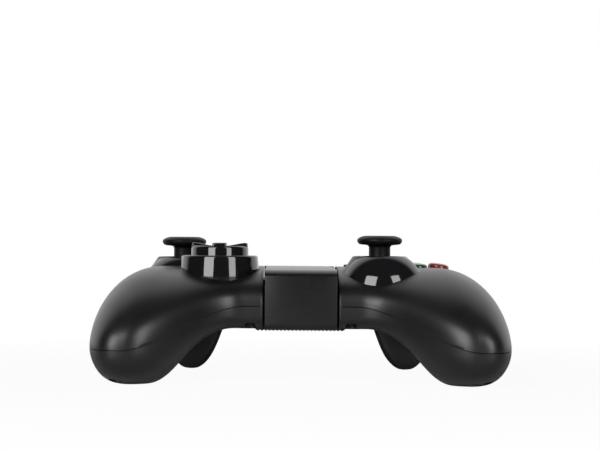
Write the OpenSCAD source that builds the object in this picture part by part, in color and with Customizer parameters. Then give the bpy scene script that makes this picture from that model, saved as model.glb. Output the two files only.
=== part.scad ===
// Wireless gamepad: a lofted two-part case with two thumbsticks, a cross pad in a raised collar,
// four face buttons, bumpers, triggers and a fold-up phone clamp between the grips.
// Millimetres. X runs to the player's right, Y away from the player, Z up from the table.

/* [Case] */
// width over the two grips
case_w = 157.5; // [154.5:0.5:161.5]
// height of the face above the table
face_z = 42.6; // [42.4:0.1:43.2]
// height of the belly between the grips
belly_z = 19.5; // [19:0.1:19.8]
// how far the grip tips reach towards the player
grip_reach = 53; // [50:1:56]
// wall thickness of the two case halves
wall = 2; // [1.8:0.1:2.2]

/* [Thumbsticks] */
// diameter of the thumb cap
cap_d = 17.2; // [16:0.2:18]
// diameter of the post below the cap
post_d = 8.2; // [7.6:0.2:8.4]
// height of the right cone above the face
cone_h = 4.5; // [4.2:0.1:4.7]
// how much lower the left stick sits than the right one
left_drop = 1.2; // [0.8:0.1:1.4]

/* [Cross pad] */
// diameter of the cross pad's disc
dpad_d = 21.8; // [21:0.2:22]
// height of the raised collar above the face
collar_h = 4.5; // [4:0.1:5]
// width of an arm of the cross
arm_w = 5.2; // [4.4:0.2:6]

/* [Face buttons] */
// diameter of a face button
button_d = 8.2; // [7.4:0.2:8.6]
// distance of a face button from the middle of the four
button_r = 9.2; // [9:0.1:9.6]
// how far a face button stands above the face
button_h = 1.6; // [1.4:0.1:2.4]

/* [Shoulders] */
// width of a trigger
trigger_w = 24; // [22:0.5:25]
// diameter of the trigger's pivot pin
trigger_pin_d = 3; // [2.4:0.2:3.2]

/* [Phone clamp] */
// width of the clamp block
clamp_w = 26.9; // [26:0.1:27.2]
// gap on each side of the clamp block
clamp_gap = 0.8; // [0.6:0.1:0.9]
// height of the seam under the clamp's cover
cover_z = 40.3; // [40.1:0.1:40.6]

/* [Fits] */
// running clearance of small pins in their bores
pin_clear = 0.06; // [0.04:0.01:0.1]
// clearance round buttons and collars in the face
face_clear = 0.25; // [0.2:0.05:0.35]

/* [Hidden] */
$fn = 48;
half_w = case_w / 2;

// plan of the case
front_y = -27;
back_y = 44;
wide_y = -16;
tip_x = half_w - 17;
crest_x = half_w - 26;
keel_x = half_w - 17.7;
grip_x0 = 24.7;
grip_x1 = half_w - 21.9;

// heights of the seam between the two halves
seam_z = 28.5;
tip_seam_z = 13.3;
wide_z = 15.5;
grip_sink = -1.9;
seam_x0 = 20.4;
seam_x1 = half_w - 12.9;
lip_h = 1.6;

// places on the face
row_front = -6.5;
row_back = 19;
stick_r_x = 30.1;
stick_l_x = -45.5;
dpad_x = -30.8;
abxy_x = 45.6;
start_y = 13.5;
home_y = 23.5;

// levels inside
board_t = 1.6;
board_z = belly_z + 8.2;
pivot_r_z = face_z - 6.3;
pivot_l_z = pivot_r_z - left_drop;
plunger_gap = 1.8;
dome_z = board_z + 2.7;

// stick cones and their glossy eyes
cone_r = 10.2;
cone_slope = 0.67;
skirt_right = 10.6;
skirt_left = 6.2;
cone_wall = 2.3;
stick_hole_r = 8.9;
eye_r = 15.5;
eye_dy = -2.5;
eye_dz = -13.4;
eye_cut_y = -6.6;
eye_wall = 1.8;
eye_deep_r = 12.4;
eye_deep_l = 6.4;
cone_top_r = face_z + cone_h;
cone_top_l = cone_top_r - left_drop;

// stick mechanism, measured from its pivot
skirt_r = 11.5;
skirt_wall = 0.9;
skirt_deg = 68;
shaft_r = 1.55;
frame_w = 13;
frame_top = 3.2;
axle_r = 1.2;

// phone clamp
clamp_x = clamp_w / 2;
slot_x = clamp_x + clamp_gap;
tray_z = 36.4;
arm_low = 38.05;
arm_top = 42.2;
jaw_front = -28;
jaw_back = -13.6;
notch_y = -11.6;
hinge_y = 39.3;
hinge_z = 40.2;

// menu buttons beside the clamp's channel
menu_x = slot_x + 6.35;

// shoulders
rib_t = 1.8;
trigger_mid = half_w - 37;
trigger_x0 = trigger_mid - trigger_w / 2;
bay_x0 = trigger_x0 - 2.5;
bay_x1 = trigger_x0 + trigger_w + 2.7;
bumper_x0 = slot_x + 4.75;
bumper_x1 = bay_x1 - 0.7;
lug_x0 = trigger_x0 + 3;
lug_w = 6;
lug_gap = 0.3;
bumper_y = 34.4;
bumper_low = 33.6;
bumper_pin_y = 32.6;
bumper_pin_z = 36.4;
bumper_pin_r = 1;
trigger_y = 35.2;
trigger_z = 29.3;
trigger_hub_r = 2.8;
bay_y = 30.5;
bay_end = edge_back(bay_x1 + rib_t, wall / 2) - 0.78;

// screws as [x, y], mirrored to both sides
SCREWS = [[slot_x + 4.6, -21.5], [half_w - 11.4, -39.4], [(slot_x + bay_x0) / 2, 31.5]];
screw_r = 1.2;
head_r = 2.3;

// one node's name, or all of them

// shaping functions

function clamp01(t) = min(1, max(0, t));
function mix(a, b, t) = a + (b - a) * t;
function ease(a, b, x) = let (t = clamp01((x - a) / (b - a))) t * t * (3 - 2 * t);
function quarter(x, x0, x1) = sqrt(max(0, 1 - pow(max(0, x - x0) / (x1 - x0), 2)));
function bulge(u, n) = pow(max(0, 1 - pow(abs(u), n)), 1 / n);
function bezier(a, b, c, d, n) = [for (i = [0:n]) let (t = i / n, s = 1 - t)
  s * s * s * a + 3 * s * s * t * b + 3 * s * t * t * c + t * t * t * d];

// the case's plan: its back and front edge at each x, drawn in by d
function edge_back(x, d) =
  mix(wide_y, back_y - d, sqrt(max(0, 1 - pow(abs(x) / (half_w - d), 4.4))));
function edge_front(x, d) = abs(x) < tip_x
  ? mix(front_y + d, d - grip_reach, ease(22, tip_x, abs(x)))
  : mix(wide_y, d - grip_reach, quarter(abs(x), tip_x, half_w - d));

// the case seen from the front: its highest and lowest line
function crest(x, d) = mix(wide_z, face_z - d, quarter(abs(x), crest_x, half_w - d));
function keel(x, d) = abs(x) < keel_x
  ? mix(belly_z + d, grip_sink + d, ease(grip_x0, grip_x1, abs(x)))
  : mix(wide_z, grip_sink + d, quarter(abs(x), keel_x, half_w - d));

// the seam between the halves, as a height over the plan
function seam_front(x) = mix(seam_z, tip_seam_z, ease(seam_x0, seam_x1, abs(x)));
function seam_back(x) = mix(wide_z, seam_z, quarter(abs(x), 45, half_w + 0.1));
function seam(x, y) = let (f = edge_front(x, 0), b = edge_back(x, 0))
  mix(seam_front(x), seam_back(x), pow(clamp01((y - f) / max(0.01, b - f)), 1.4));

// skin heights: u runs from -1 at the front edge to 1 at the back edge
function droop(x, y) = 0.0075 * pow(max(0, -y), 2) * ease(20, 58, abs(x));
function least(d) = lip_h - 0.7 * d;
function top_rise(x, y, d) = max(least(d), crest(x, d) - droop(x, y) - seam(x, y));
function top_z(x, y, u, d) = seam(x, y) + top_rise(x, y, d) * bulge(u, u < 0 ? 2.4 : 4);
function low_depth(x, y, d) =
  max(least(d), seam(x, y) - mix(keel(x, d), belly_z + d, ease(-36, 4, y)));
function low_z(x, y, u, d) = seam(x, y) - low_depth(x, y, d) * bulge(u, 3);
function across(x, y, d) = let (f = edge_front(x, d), b = edge_back(x, d)) (2 * y - f - b) / (b - f);
function top_at(x, y, d) = top_z(x, y, across(x, y, d), d);
function low_at(x, y, d) = low_z(x, y, across(x, y, d), d);
function ring(x, y, r) = [for (a = [0:45:315]) [x + r * cos(a), y + r * sin(a)]];

// stations of the loft from grip to grip, and points over each station
stations = 18;
steps = 14;
function station(i, d) = (half_w - d) * (abs(i) == stations ? sign(i) * 0.9997 : sin(90 * i / stations));
function skin(i, j, d, up) = let (x = station(i, d), u = -cos(180 * j / steps), f = edge_front(x, d),
  b = edge_back(x, d), y = (f + b) / 2 + u * (b - f) / 2) [x, y, up ? top_z(x, y, u, d) : low_z(x, y, u, d)];
function quad(a, b, c, d) = [[a, b, c], [a, c, d]];
function turned(f) = [for (k = [len(f) - 1:-1:0]) f[k]];

// one hollow half of the case: outer and inner skin, joined along the seam
module half_case(up) {
  cols = steps + 1;
  rows = 2 * stations + 1;
  last = rows - 1;
  function id(layer, i, j) = (layer * rows + i) * cols + j;
  points = [for (d = [0, wall]) for (i = [-stations:stations]) for (j = [0:steps]) skin(i, j, d, up)];
  outer = [for (i = [0:last - 1]) for (j = [0:steps - 1])
    each quad(id(0, i, j), id(0, i, j + 1), id(0, i + 1, j + 1), id(0, i + 1, j))];
  inner = [for (i = [0:last - 1]) for (j = [0:steps - 1])
    each quad(id(1, i, j), id(1, i + 1, j), id(1, i + 1, j + 1), id(1, i, j + 1))];
  front = [for (i = [0:last - 1])
    each quad(id(0, i, 0), id(0, i + 1, 0), id(1, i + 1, 0), id(1, i, 0))];
  back = [for (i = [0:last - 1])
    each quad(id(0, i, steps), id(1, i, steps), id(1, i + 1, steps), id(0, i + 1, steps))];
  caps = [
    [for (j = [0:steps]) id(0, 0, steps - j)],
    [for (j = [0:steps]) id(1, 0, j)],
    [for (j = [0:steps]) id(0, last, j)],
    [for (j = [0:steps]) id(1, last, steps - j)],
    each quad(id(0, 0, 0), id(1, 0, 0), id(1, 0, steps), id(0, 0, steps)),
    each quad(id(0, last, 0), id(0, last, steps), id(1, last, steps), id(1, last, 0))];
  faces = concat(caps, back, front, inner, outer);
  polyhedron(points, [for (f = faces) up ? f : turned(f)], convexity = 8);
}

// a wall across the case that follows the inside of one half, x0 to x1 wide and y0 to y1 long
module inner_wall(x0, x1, y0, y1, up, level) {
  n = 12;
  x = abs(x0) > abs(x1) ? x0 : x1;
  ys = [for (k = [0:n]) mix(y0, y1, k / n)];
  edge = [for (y = ys) [y, up ? top_at(x, y, wall / 2) : low_at(x, y, wall / 2)]];
  base = [for (k = [n:-1:0]) [ys[k], level > 0 ? level : seam(x, ys[k])]];
  translate([x0, 0, 0])
    rotate([90, 0, 90])
      linear_extrude(x1 - x0)
        polygon(concat(edge, base));
}

module both() {
  children();
  mirror([1, 0, 0])
    children();
}

module along_x(r, x0, x1, y, z) {
  translate([x0, y, z])
    rotate([0, 90, 0])
      cylinder(r = r, h = x1 - x0);
}

module along_y(r, y0, y1, x, z) {
  translate([x, y0, z])
    rotate([-90, 0, 0])
      cylinder(r = r, h = y1 - y0);
}

module block(x0, x1, y0, y1, z0, z1) {
  translate([x0, y0, z0])
    cube([x1 - x0, y1 - y0, z1 - z0]);
}

// flat pill of radius r with its round ends len apart, along X
module pill(r, len) {
  translate([-len / 2, 0])
    circle(r);
  translate([len / 2, 0])
    circle(r);
  square([len, 2 * r], center = true);
}

// an outline in Y and Z, carried from x0 to x1
module carried(x0, x1, outline) {
  translate([x0, 0, 0])
    rotate([90, 0, 90])
      linear_extrude(x1 - x0)
        polygon(outline);
}

module at_buttons() {
  for (a = [0:90:270])
    translate([abxy_x + button_r * cos(a), row_back + button_r * sin(a), 0])
      children();
}

// case

module stick_cone(x, y, top, skirt) {
  translate([x, y, top - skirt])
    cylinder(r1 = cone_r + cone_slope * skirt, r2 = cone_r, h = skirt);
}

module stick_cone_cut(x, y, top, skirt) {
  translate([x, y, top - skirt - 0.1])
    cylinder(r1 = cone_r + cone_slope * skirt - cone_wall, r2 = cone_r - cone_wall, h = skirt);
  translate([x, y, seam_z])
    cylinder(r = stick_hole_r, h = 30);
}

// room for the dome under a thumb cap to swing in
module cap_room(x, y, pivot) {
  translate([x, y, pivot])
    sphere(skirt_r + 0.4);
}

module eye_ball(x, y, top, r) {
  translate([x, y + eye_dy, top + eye_dz])
    sphere(r);
}

module eye_cut(x, y, top, deep) {
  intersection() {
    eye_ball(x, y, top, eye_r + 0.1);
    block(x - 30, x + 30, y - 40, y + eye_cut_y, top - deep - 0.2, top + 20);
  }
}

module top_bosses() {
  for (s = SCREWS)
    let (z0 = seam(s[0], s[1]), z1 = min([for (p = ring(s[0], s[1], 2.8)) top_at(p[0], p[1], wall * 0.4)]))
      translate([s[0], s[1], z0])
        cylinder(r = 2.8, h = z1 - z0);
}

module top_shell() {
  color("#232427")
  difference() {
    union() {
      half_case(true);
      stick_cone(stick_r_x, row_front, cone_top_r, skirt_right);
      stick_cone(stick_l_x, row_back, cone_top_l, skirt_left);
      both() {
        inner_wall(slot_x, slot_x + rib_t, -20, 41, true, 34.5);
        inner_wall(slot_x, slot_x + rib_t, -25.5, notch_y + rib_t, true, seam_z);
        inner_wall(bumper_x0 - lug_gap - rib_t, bumper_x0 - lug_gap, 30, 42, true, 0);
        inner_wall(bay_x1, bay_x1 + rib_t, 26, bay_end, true, 0);
        top_bosses();
      }
      block(-slot_x - rib_t, slot_x + rib_t, notch_y, notch_y + rib_t, seam_z, tray_z - 0.2);
    }
    stick_cone_cut(stick_r_x, row_front, cone_top_r, skirt_right);
    stick_cone_cut(stick_l_x, row_back, cone_top_l, skirt_left);
    cap_room(stick_r_x, row_front, pivot_r_z);
    cap_room(stick_l_x, row_back, pivot_l_z);
    eye_cut(stick_r_x, row_front, cone_top_r, eye_deep_r);
    eye_cut(stick_l_x, row_back, cone_top_l, eye_deep_l);
    translate([dpad_x, row_front, seam_z])
      cylinder(r = collar_r + face_clear, h = 30);
    at_buttons()
      translate([0, 0, seam_z])
        cylinder(d = button_d + 2 * face_clear, h = 30);
    both()
      translate([menu_x, start_y, seam_z])
        linear_extrude(30)
          pill(1.7 + face_clear, 3.6);
    translate([menu_x, home_y, seam_z])
      cylinder(r = 3 + face_clear, h = 30);
    translate([-menu_x, home_y, seam_z])
      linear_extrude(30)
        pill(1, 4.4);
    block(-slot_x, slot_x, -60, 60, tray_z - 0.2, 60);
    block(-slot_x, slot_x, -60, notch_y, 0, 60);
    both() {
      block(bumper_x0 - lug_gap, bay_x1, bumper_y - lug_gap, 60, 0, 60);
      block(bay_x0, bay_x1, bay_y + 2.5, 60, 0, bumper_low);
      for (s = SCREWS)
        translate([s[0], s[1], seam(s[0], s[1]) - 1])
          cylinder(r = screw_r + 0.05, h = 6.5);
    }
  }
}

module low_bosses() {
  for (s = SCREWS)
    let (z0 = max([for (p = ring(s[0], s[1], 3.6)) low_at(p[0], p[1], wall * 0.4)]), z1 = seam(s[0], s[1]))
      translate([s[0], s[1], z0])
        cylinder(r = 3.6, h = z1 - z0);
}

module board_posts() {
  for (p = [[slot_x + 11.75, -12], [50, -12], [50, 20], [slot_x + 9.75, 10]])
    let (z0 = low_at(p[0], p[1], wall / 2))
      translate([p[0], p[1], z0])
        cylinder(r = 2, h = board_z - board_t - z0);
}

module bottom_shell() {
  color("#1d1e21")
  difference() {
    union() {
      half_case(false);
      both() {
        inner_wall(slot_x, slot_x + rib_t, -25.5, notch_y + rib_t, false, seam_z);
        inner_wall(bay_x0 - rib_t, bay_x0, 28, 42, false, 0);
        inner_wall(bay_x1, bay_x1 + rib_t, 20, bay_end, false, 0);
        low_bosses();
        board_posts();
      }
      block(-slot_x - rib_t, slot_x + rib_t, notch_y, notch_y + rib_t, belly_z + 1, seam_z);
    }
    block(-slot_x, slot_x, -60, notch_y, 0, 60);
    block(-pad_x - 0.2, pad_x + 0.2, pad_y0 - 0.2, pad_y1 + 0.2, 0, belly_z + 0.8);
    block(-socket_w / 2 - 1.25, socket_w / 2 + 1.25, socket_y - 0.3, 60, socket_z - 0.5, socket_z + 3.3);
    both() {
      block(bay_x0, bay_x1, bay_y, 60, 0, 60);
      for (s = SCREWS)
        translate([s[0], s[1], 0]) {
          translate([0, 0, -1])
            cylinder(r = head_r + 0.4, h = seam(s[0], s[1]) - 3);
          cylinder(r = screw_r + 0.2, h = seam(s[0], s[1]) + 1);
        }
    }
    block(-100, 100, -100, 100, -10, 0);
  }
}

// finely ribbed rubber pad under the belly, for the fingertips
pad_x = 17;
pad_y0 = -9;
pad_y1 = 22;
rib_r = 0.45;
rib_pitch = 1.45;
module grip_pad() {
  color("#141416")
  union() {
    block(-pad_x, pad_x, pad_y0, pad_y1, belly_z - 0.65, belly_z + 0.8);
    for (i = [-11:11])
      along_y(rib_r, pad_y0 + 0.6, pad_y1 - 0.6, rib_pitch * i, belly_z - 0.55, $fn = 16);
  }
}

module case_screws() {
  color("#3a3b3e")
  both()
    for (s = SCREWS)
      translate([s[0], s[1], seam(s[0], s[1]) - 4]) {
        difference() {
          translate([0, 0, -1.6])
            cylinder(r = head_r, h = 1.6);
          for (a = [0, 90])
            rotate(a)
              block(-1.4, 1.4, -0.3, 0.3, -2, -0.9);
        }
        cylinder(r = screw_r, h = 8.5);
      }
}

module stick_eye(x, y, top, deep) {
  color("#08080a")
  difference() {
    intersection() {
      eye_ball(x, y, top, eye_r);
      block(x - 30, x + 30, y - 40, y + eye_cut_y - 0.2, top - deep, top - 0.4);
    }
    eye_ball(x, y, top, eye_r - eye_wall);
    translate([x, y, top - 20])
      cylinder(r = stick_hole_r, h = 30);
    translate([dpad_x, row_front, top - 20])
      cylinder(r = collar_r + face_clear, h = 30);
  }
}

module left_stick_eye() {
  stick_eye(stick_l_x, row_back, cone_top_l, eye_deep_l);
}

module right_stick_eye() {
  stick_eye(stick_r_x, row_front, cone_top_r, eye_deep_r);
}

// cross pad

collar_r = 15.1;
collar_top = face_z + collar_h;
dpad_r = dpad_d / 2;
dpad_pivot_z = collar_top - 3.6;
dpad_lip_z = collar_top - 4.9;
module dpad_collar() {
  color("#09090b")
  difference() {
    translate([dpad_x, row_front, 0])
      rotate_extrude()
        polygon([[13.4, 32.8], [16.2, 32.8], [16.2, 34], [collar_r, 34], [14.45, collar_top - 0.4],
          [14.05, collar_top], [dpad_r + 1, collar_top], [dpad_r + 0.6, collar_top - 0.4],
          [dpad_r + 0.6, dpad_lip_z], [13.4, dpad_lip_z]]);
    block(-slot_x - rib_t - 0.3, 0, -60, 60, 30, 34);
  }
}

module dpad() {
  color("#0b0b0d")
  translate([dpad_x, row_front, 0])
  difference() {
    union() {
      rotate_extrude()
        polygon([[0, 40], [12.6, 39], [12.6, 40.3], [dpad_r, 40.6], [dpad_r, collar_top + 3],
          [dpad_r - 0.6, collar_top + 3.6], [dpad_r - 3, collar_top + 3], [0, collar_top + 2.4]]);
      intersection() {
        cylinder(r = dpad_r, h = 70);
        for (a = [0:90:270])
          rotate(a)
            rotate([90, 0, 0])
              translate([0, 0, -arm_w / 2])
                linear_extrude(arm_w)
                  polygon([[-arm_w / 2, collar_top + 1], [dpad_r + 1, collar_top + 1],
                    [dpad_r + 1, collar_top + 4.8], [dpad_r - 1, collar_top + 4.7],
                    [3, collar_top + 3.6], [-arm_w / 2, collar_top + 3.4]]);
      }
      for (a = [0:90:270])
        rotate(a)
          translate([9, 0, dome_z + 1.2])
            cylinder(r = 1.5, h = 40.2 - dome_z - 1.2);
    }
    translate([0, 0, 30])
      cylinder(r = 4.6, h = dpad_pivot_z + 2.1 - 30);
    along_y(0.6 + pin_clear, -5.6, 5.6, 0, dpad_pivot_z);
  }
}

module dpad_gimbal() {
  color("#5a5c60")
  translate([dpad_x, row_front, dpad_pivot_z]) {
    difference() {
      translate([0, 0, -1.1])
        cylinder(r = 4.1, h = 2.2);
      translate([0, 0, -2])
        cylinder(r = 2.6, h = 4);
    }
    for (a = [0, 180])
      rotate(a) {
        along_x(0.6, 1, 3.2, 0, 0);
        along_y(0.6, 3.2, 5.3, 0, 0);
      }
  }
}

module dpad_post() {
  color("#4a4c50")
  translate([dpad_x, row_front, board_z])
  difference() {
    union() {
      cylinder(r = 3, h = 1.8);
      cylinder(r = 1.9, h = dpad_pivot_z + 1.5 - board_z);
    }
    along_x(0.6 + pin_clear, -3, 3, 0, dpad_pivot_z - board_z);
  }
}

sheet_t = 0.8;
module dome(base_r, foot_r) {
  translate([0, 0, board_z])
    cylinder(r = base_r, h = sheet_t);
  translate([0, 0, board_z + sheet_t])
    cylinder(r1 = foot_r, r2 = foot_r * 0.8, h = dome_z - board_z - sheet_t);
}

module dpad_membrane() {
  color("#55585c")
  translate([dpad_x, row_front, 0])
  difference() {
    union() {
      translate([0, 0, board_z])
        cylinder(r = 12.5, h = sheet_t);
      for (a = [0:90:270])
        rotate(a)
          translate([9, 0, 0])
            dome(3.2, 2.6);
    }
    translate([0, 0, board_z - 1])
      cylinder(r = 3.2, h = 10);
  }
}

// face buttons, each with a stem over its dome

stem_r = 2;
module button_membrane() {
  color("#55585c")
  difference() {
    union() {
      at_buttons()
        dome(5.2, stem_r - 0.1);
      translate([abxy_x, row_back, board_z])
        cylinder(r = button_r - 2, h = sheet_t);
    }
    block(0, half_w, bay_y - 0.3, back_y, 0, face_z);
  }
}

button_low = dome_z + plunger_gap;
button_top = face_z + button_h;
flange_z = face_z - 6;
module face_button(a, tint) {
  r = button_d / 2;
  color(tint)
  translate([abxy_x + button_r * cos(a), row_back + button_r * sin(a), 0])
    rotate_extrude()
      polygon([[0, button_low], [stem_r, button_low], [stem_r, flange_z], [r + 0.7, flange_z],
        [r + 0.7, flange_z + 1], [r, flange_z + 1.2], [r, button_top - 1.1], [r - 0.3, button_top - 0.6],
        [r - 1.1, button_top - 0.25], [r - 2.2, button_top - 0.06], [0, button_top]]);
}

module button_a() {
  face_button(270, "#16381f");
}

module button_b() {
  face_button(0, "#4a1216");
}

module button_x() {
  face_button(180, "#16244a");
}

module button_y() {
  face_button(90, "#4a3f14");
}

// menu buttons

switch_top = board_z + 4.2;
menu_low = switch_top + 0.9;
menu_top = face_z + 0.8;
module menu_pill(x) {
  color("#17181a")
  translate([x, start_y, 0]) {
    translate([0, 0, menu_low])
      linear_extrude(menu_top - 0.4 - menu_low)
        pill(1.7, 3.6);
    translate([0, 0, menu_top - 0.5])
      linear_extrude(0.5)
        pill(1.4, 3.6);
    translate([0, 0, face_z - 4.2])
      linear_extrude(1)
        pill(2.3, 3.6);
  }
}

module select_button() {
  menu_pill(-menu_x);
}

module start_button() {
  menu_pill(menu_x);
}

module home_button() {
  color("#17181a")
  translate([menu_x, home_y, 0])
    rotate_extrude()
      polygon([[0, menu_low], [2, menu_low], [2.4, face_z - 4.2], [3.7, face_z - 4.2], [3.7, face_z - 3.2],
        [3, face_z - 3.2], [3, menu_top - 0.5], [2.6, menu_top - 0.1], [0, menu_top]]);
}

module status_light() {
  color("#9fb4c4")
  translate([-menu_x, home_y, 0]) {
    translate([0, 0, face_z - 6])
      linear_extrude(5.9)
        pill(0.9, 4.4);
    translate([0, 0, face_z - 4.2])
      linear_extrude(1)
        pill(1.6, 4.4);
  }
}

module menu_switches() {
  color("#8d9095")
  for (p = [[-menu_x, start_y], [menu_x, start_y], [menu_x, home_y]])
    translate([p[0], p[1], board_z]) {
      translate([-2.2, -2.2, 0])
        cube([4.4, 4.4, 3.2]);
      cylinder(r = 1.1, h = switch_top - board_z);
    }
}

// electronics

board_in = slot_x + 3.25;
board_back = bay_y - 0.3;
socket_y = 36.5;
socket_w = 7.5;
socket_z = board_z - board_t - 2.8;
module main_board() {
  color("#1f5a35")
  translate([0, 0, board_z - board_t])
  difference() {
    linear_extrude(board_t)
      polygon([[-55, -17], [-board_in, -17], [-board_in, -8.5], [board_in, -8.5], [board_in, -17], [55, -17],
        [57, -10], [57, 22], [52, board_back], [30, board_back], [27, 25], [7, 25], [7, 38],
        [-7, 38], [-7, 25], [-27, 25], [-30, board_back], [-52, board_back], [-57, 22], [-57, -10]]);
    for (p = [[48, -6], [-52, 0], [34, 26]])
      translate([p[0], p[1], -1])
        cylinder(r = 1.2, h = 4);
  }
}

module battery() {
  color("#9aa0a6")
  translate([0, 9, belly_z + 2.6])
    linear_extrude(board_z - board_t - belly_z - 2.8)
      union() {
        square([25, 27], center = true);
        square([22, 30], center = true);
        for (x = [-11, 11], y = [-13.5, 13.5])
          translate([x, y])
            circle(1.5);
      }
}

module usb_socket() {
  color("#b6b9bd")
  translate([0, socket_y, socket_z]) {
    difference() {
      block(-socket_w / 2, socket_w / 2, 0, 6.6, 0, 2.7);
      block(0.4 - socket_w / 2, socket_w / 2 - 0.4, 1, 7, 0.4, 2.3);
    }
    block(-2.2, 2.2, 0.9, 5.4, 1.05, 1.65);
  }
}

// thumbsticks, drawn about their pivot

module at_left() {
  translate([stick_l_x, row_back, pivot_l_z])
    children();
}

module at_right() {
  translate([stick_r_x, row_front, pivot_r_z])
    children();
}

// frame that carries both axles, its floor on the board
module stick_frame(floor) {
  h = frame_w / 2;
  color("#a4a8ad")
  difference() {
    block(-h, h, -h, h, floor, frame_top);
    block(1.1 - h, h - 1.1, 1.1 - h, h - 1.1, floor + 1.2, frame_top + 1);
    along_x(axle_r + pin_clear, -h - 1, h + 1, 0, 0);
    along_y(axle_r + pin_clear, -h - 1, h + 1, 0, 0);
  }
}

// two angle sensors and the click switch beside the frame
module stick_sensors(floor) {
  h = frame_w / 2 + 0.1;
  color("#2e5c8a") {
    block(h, h + 2.9, -3.3, 3.3, floor, 2);
    block(-3.3, 3.3, -h - 2.9, -h, floor, 2);
    block(-h - 2.6, -h, -3, 3, floor, floor + 4);
  }
}

// ring that turns about X in the frame and carries the sleeve
module stick_yoke() {
  color("#d8d4c8")
  difference() {
    union() {
      block(-4.9, 4.9, -3.8, 3.8, -1.4, 1.4);
      along_x(axle_r, -6.4, 6.4, 0, 0);
    }
    block(-3.4, 3.4, -2.7, 2.7, -3, 3);
    along_y(0.8 + pin_clear, -5, 5, 0, 0);
  }
}

// slotted arch that turns about Y in the frame and follows the shaft
module stick_rocker() {
  color("#e4e0d4")
  difference() {
    union() {
      intersection() {
        along_x(5.15, -2.6, 2.6, 0, 0);
        block(-5, 5, -8, 8, -1, 8);
      }
      along_y(axle_r, -6.4, 6.4, 0, 0);
    }
    along_x(4.45, -5, 5, 0, 0);
    block(-1.75, 1.75, -3.3, 3.3, 1, 8);
  }
}

// sleeve with two pins across the yoke, in which the shaft clicks down
module stick_sleeve() {
  color("#c9c4b6")
  difference() {
    union() {
      translate([0, 0, -1.4])
        cylinder(r = 2.3, h = 2.8);
      along_y(0.8, -3.7, 3.7, 0, 0);
    }
    translate([0, 0, -5])
      cylinder(r = shaft_r + pin_clear, h = 10);
  }
}

module stick_shaft() {
  color("#c2c4c7")
  translate([0, 0, -3.2])
    cylinder(r = shaft_r, h = 15.6);
}

// thumb cap, post and the dome that closes the cone from below
cap_top = cone_h + 14.2;
module stick_cap() {
  r = cap_d / 2;
  p = post_d / 2;
  ri = skirt_r - skirt_wall;
  waist = acos(p / skirt_r);
  color("#0f0f10")
  rotate_extrude()
    polygon(concat(
      [[0, cap_top - 0.5], [r - 3.4, cap_top - 0.3], [r - 1.6, cap_top], [r - 0.6, cap_top - 0.5],
        [r, cap_top - 1.5], [r - 0.1, cap_top - 2.6], [r - 0.9, cap_top - 3.4], [r - 3, cap_top - 3.7],
        [p + 0.3, cap_top - 4], [p, cap_top - 5], [p - 0.15, cap_top - 6.4]],
      [for (k = [0:8]) let (a = mix(90 - waist, skirt_deg, k / 8)) skirt_r * [sin(a), cos(a)]],
      [for (k = [8:-1:0]) let (a = mix(18, skirt_deg, k / 8)) ri * [sin(a), cos(a)]],
      [[2.8, ri * cos(18) - 0.1], [2.8, 6.2], [shaft_r + 0.03, 6.2], [shaft_r + 0.03, 12.6], [0, 12.6]]));
}

module left_stick_frame() {
  at_left()
    stick_frame(board_z - pivot_l_z);
}

module left_stick_sensors() {
  at_left()
    stick_sensors(board_z - pivot_l_z);
}

module left_stick_yoke() {
  at_left()
    stick_yoke();
}

module left_stick_rocker() {
  at_left()
    stick_rocker();
}

module left_stick_sleeve() {
  at_left()
    stick_sleeve();
}

module left_stick_shaft() {
  at_left()
    stick_shaft();
}

module left_stick_cap() {
  at_left()
    stick_cap();
}

module right_stick_frame() {
  at_right()
    stick_frame(board_z - pivot_r_z);
}

module right_stick_sensors() {
  at_right()
    stick_sensors(board_z - pivot_r_z);
}

module right_stick_yoke() {
  at_right()
    stick_yoke();
}

module right_stick_rocker() {
  at_right()
    stick_rocker();
}

module right_stick_sleeve() {
  at_right()
    stick_sleeve();
}

module right_stick_shaft() {
  at_right()
    stick_shaft();
}

module right_stick_cap() {
  at_right()
    stick_cap();
}

// shoulders, drawn on the right and mirrored to the left

module shoulder_bracket() {
  plate = bay_y + 0.1;
  color("#2b2c30")
  difference() {
    union() {
      block(bay_x0 + 0.3, bay_x1 - 0.3, plate, plate + 1.4, belly_z + 1.9, 31.5);
      for (x = [trigger_x0 - 0.4 - rib_t, trigger_x0 + trigger_w + 0.4])
        carried(x, x + rib_t, [[plate, trigger_z - 3.9], [trigger_y - 0.2, trigger_z - 3.9],
          [trigger_y + 2.8, trigger_z - 2.3], [trigger_y + 3.2, trigger_z + 0.7],
          [trigger_y + 1.8, trigger_z + 3.1], [plate, trigger_z + 3.1]]);
      for (x = [lug_x0 - lug_gap - rib_t, lug_x0 + lug_w + lug_gap])
        carried(x, x + rib_t, [[plate - 0.6, board_z + 0.3], [plate + 1.2, board_z + 0.3],
          [plate + 1.2, bumper_pin_z - 3.2], [bumper_pin_y + 1.4, bumper_pin_z - 1.8],
          [bumper_pin_y + 1.4, bumper_pin_z + 0.8],
          [bumper_pin_y + 0.6, bumper_pin_z + 1.5], [bumper_pin_y - 1.6, bumper_pin_z + 1.5],
          [plate - 0.6, bumper_pin_z - 0.4]]);
    }
    along_x(trigger_pin_d / 2 + 0.02, bay_x0 - 9, bay_x1 + 9, trigger_y, trigger_z);
    along_x(bumper_pin_r + 0.02, lug_x0 - 3, lug_x0 + lug_w + 3, bumper_pin_y, bumper_pin_z);
  }
}

module left_bracket() {
  mirror([1, 0, 0])
    shoulder_bracket();
}

module right_bracket() {
  shoulder_bracket();
}

module trigger_pins() {
  color("#b9bcc0")
  both()
    along_x(trigger_pin_d / 2, trigger_x0 - 2, trigger_x0 + trigger_w + 2, trigger_y, trigger_z);
}

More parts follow.
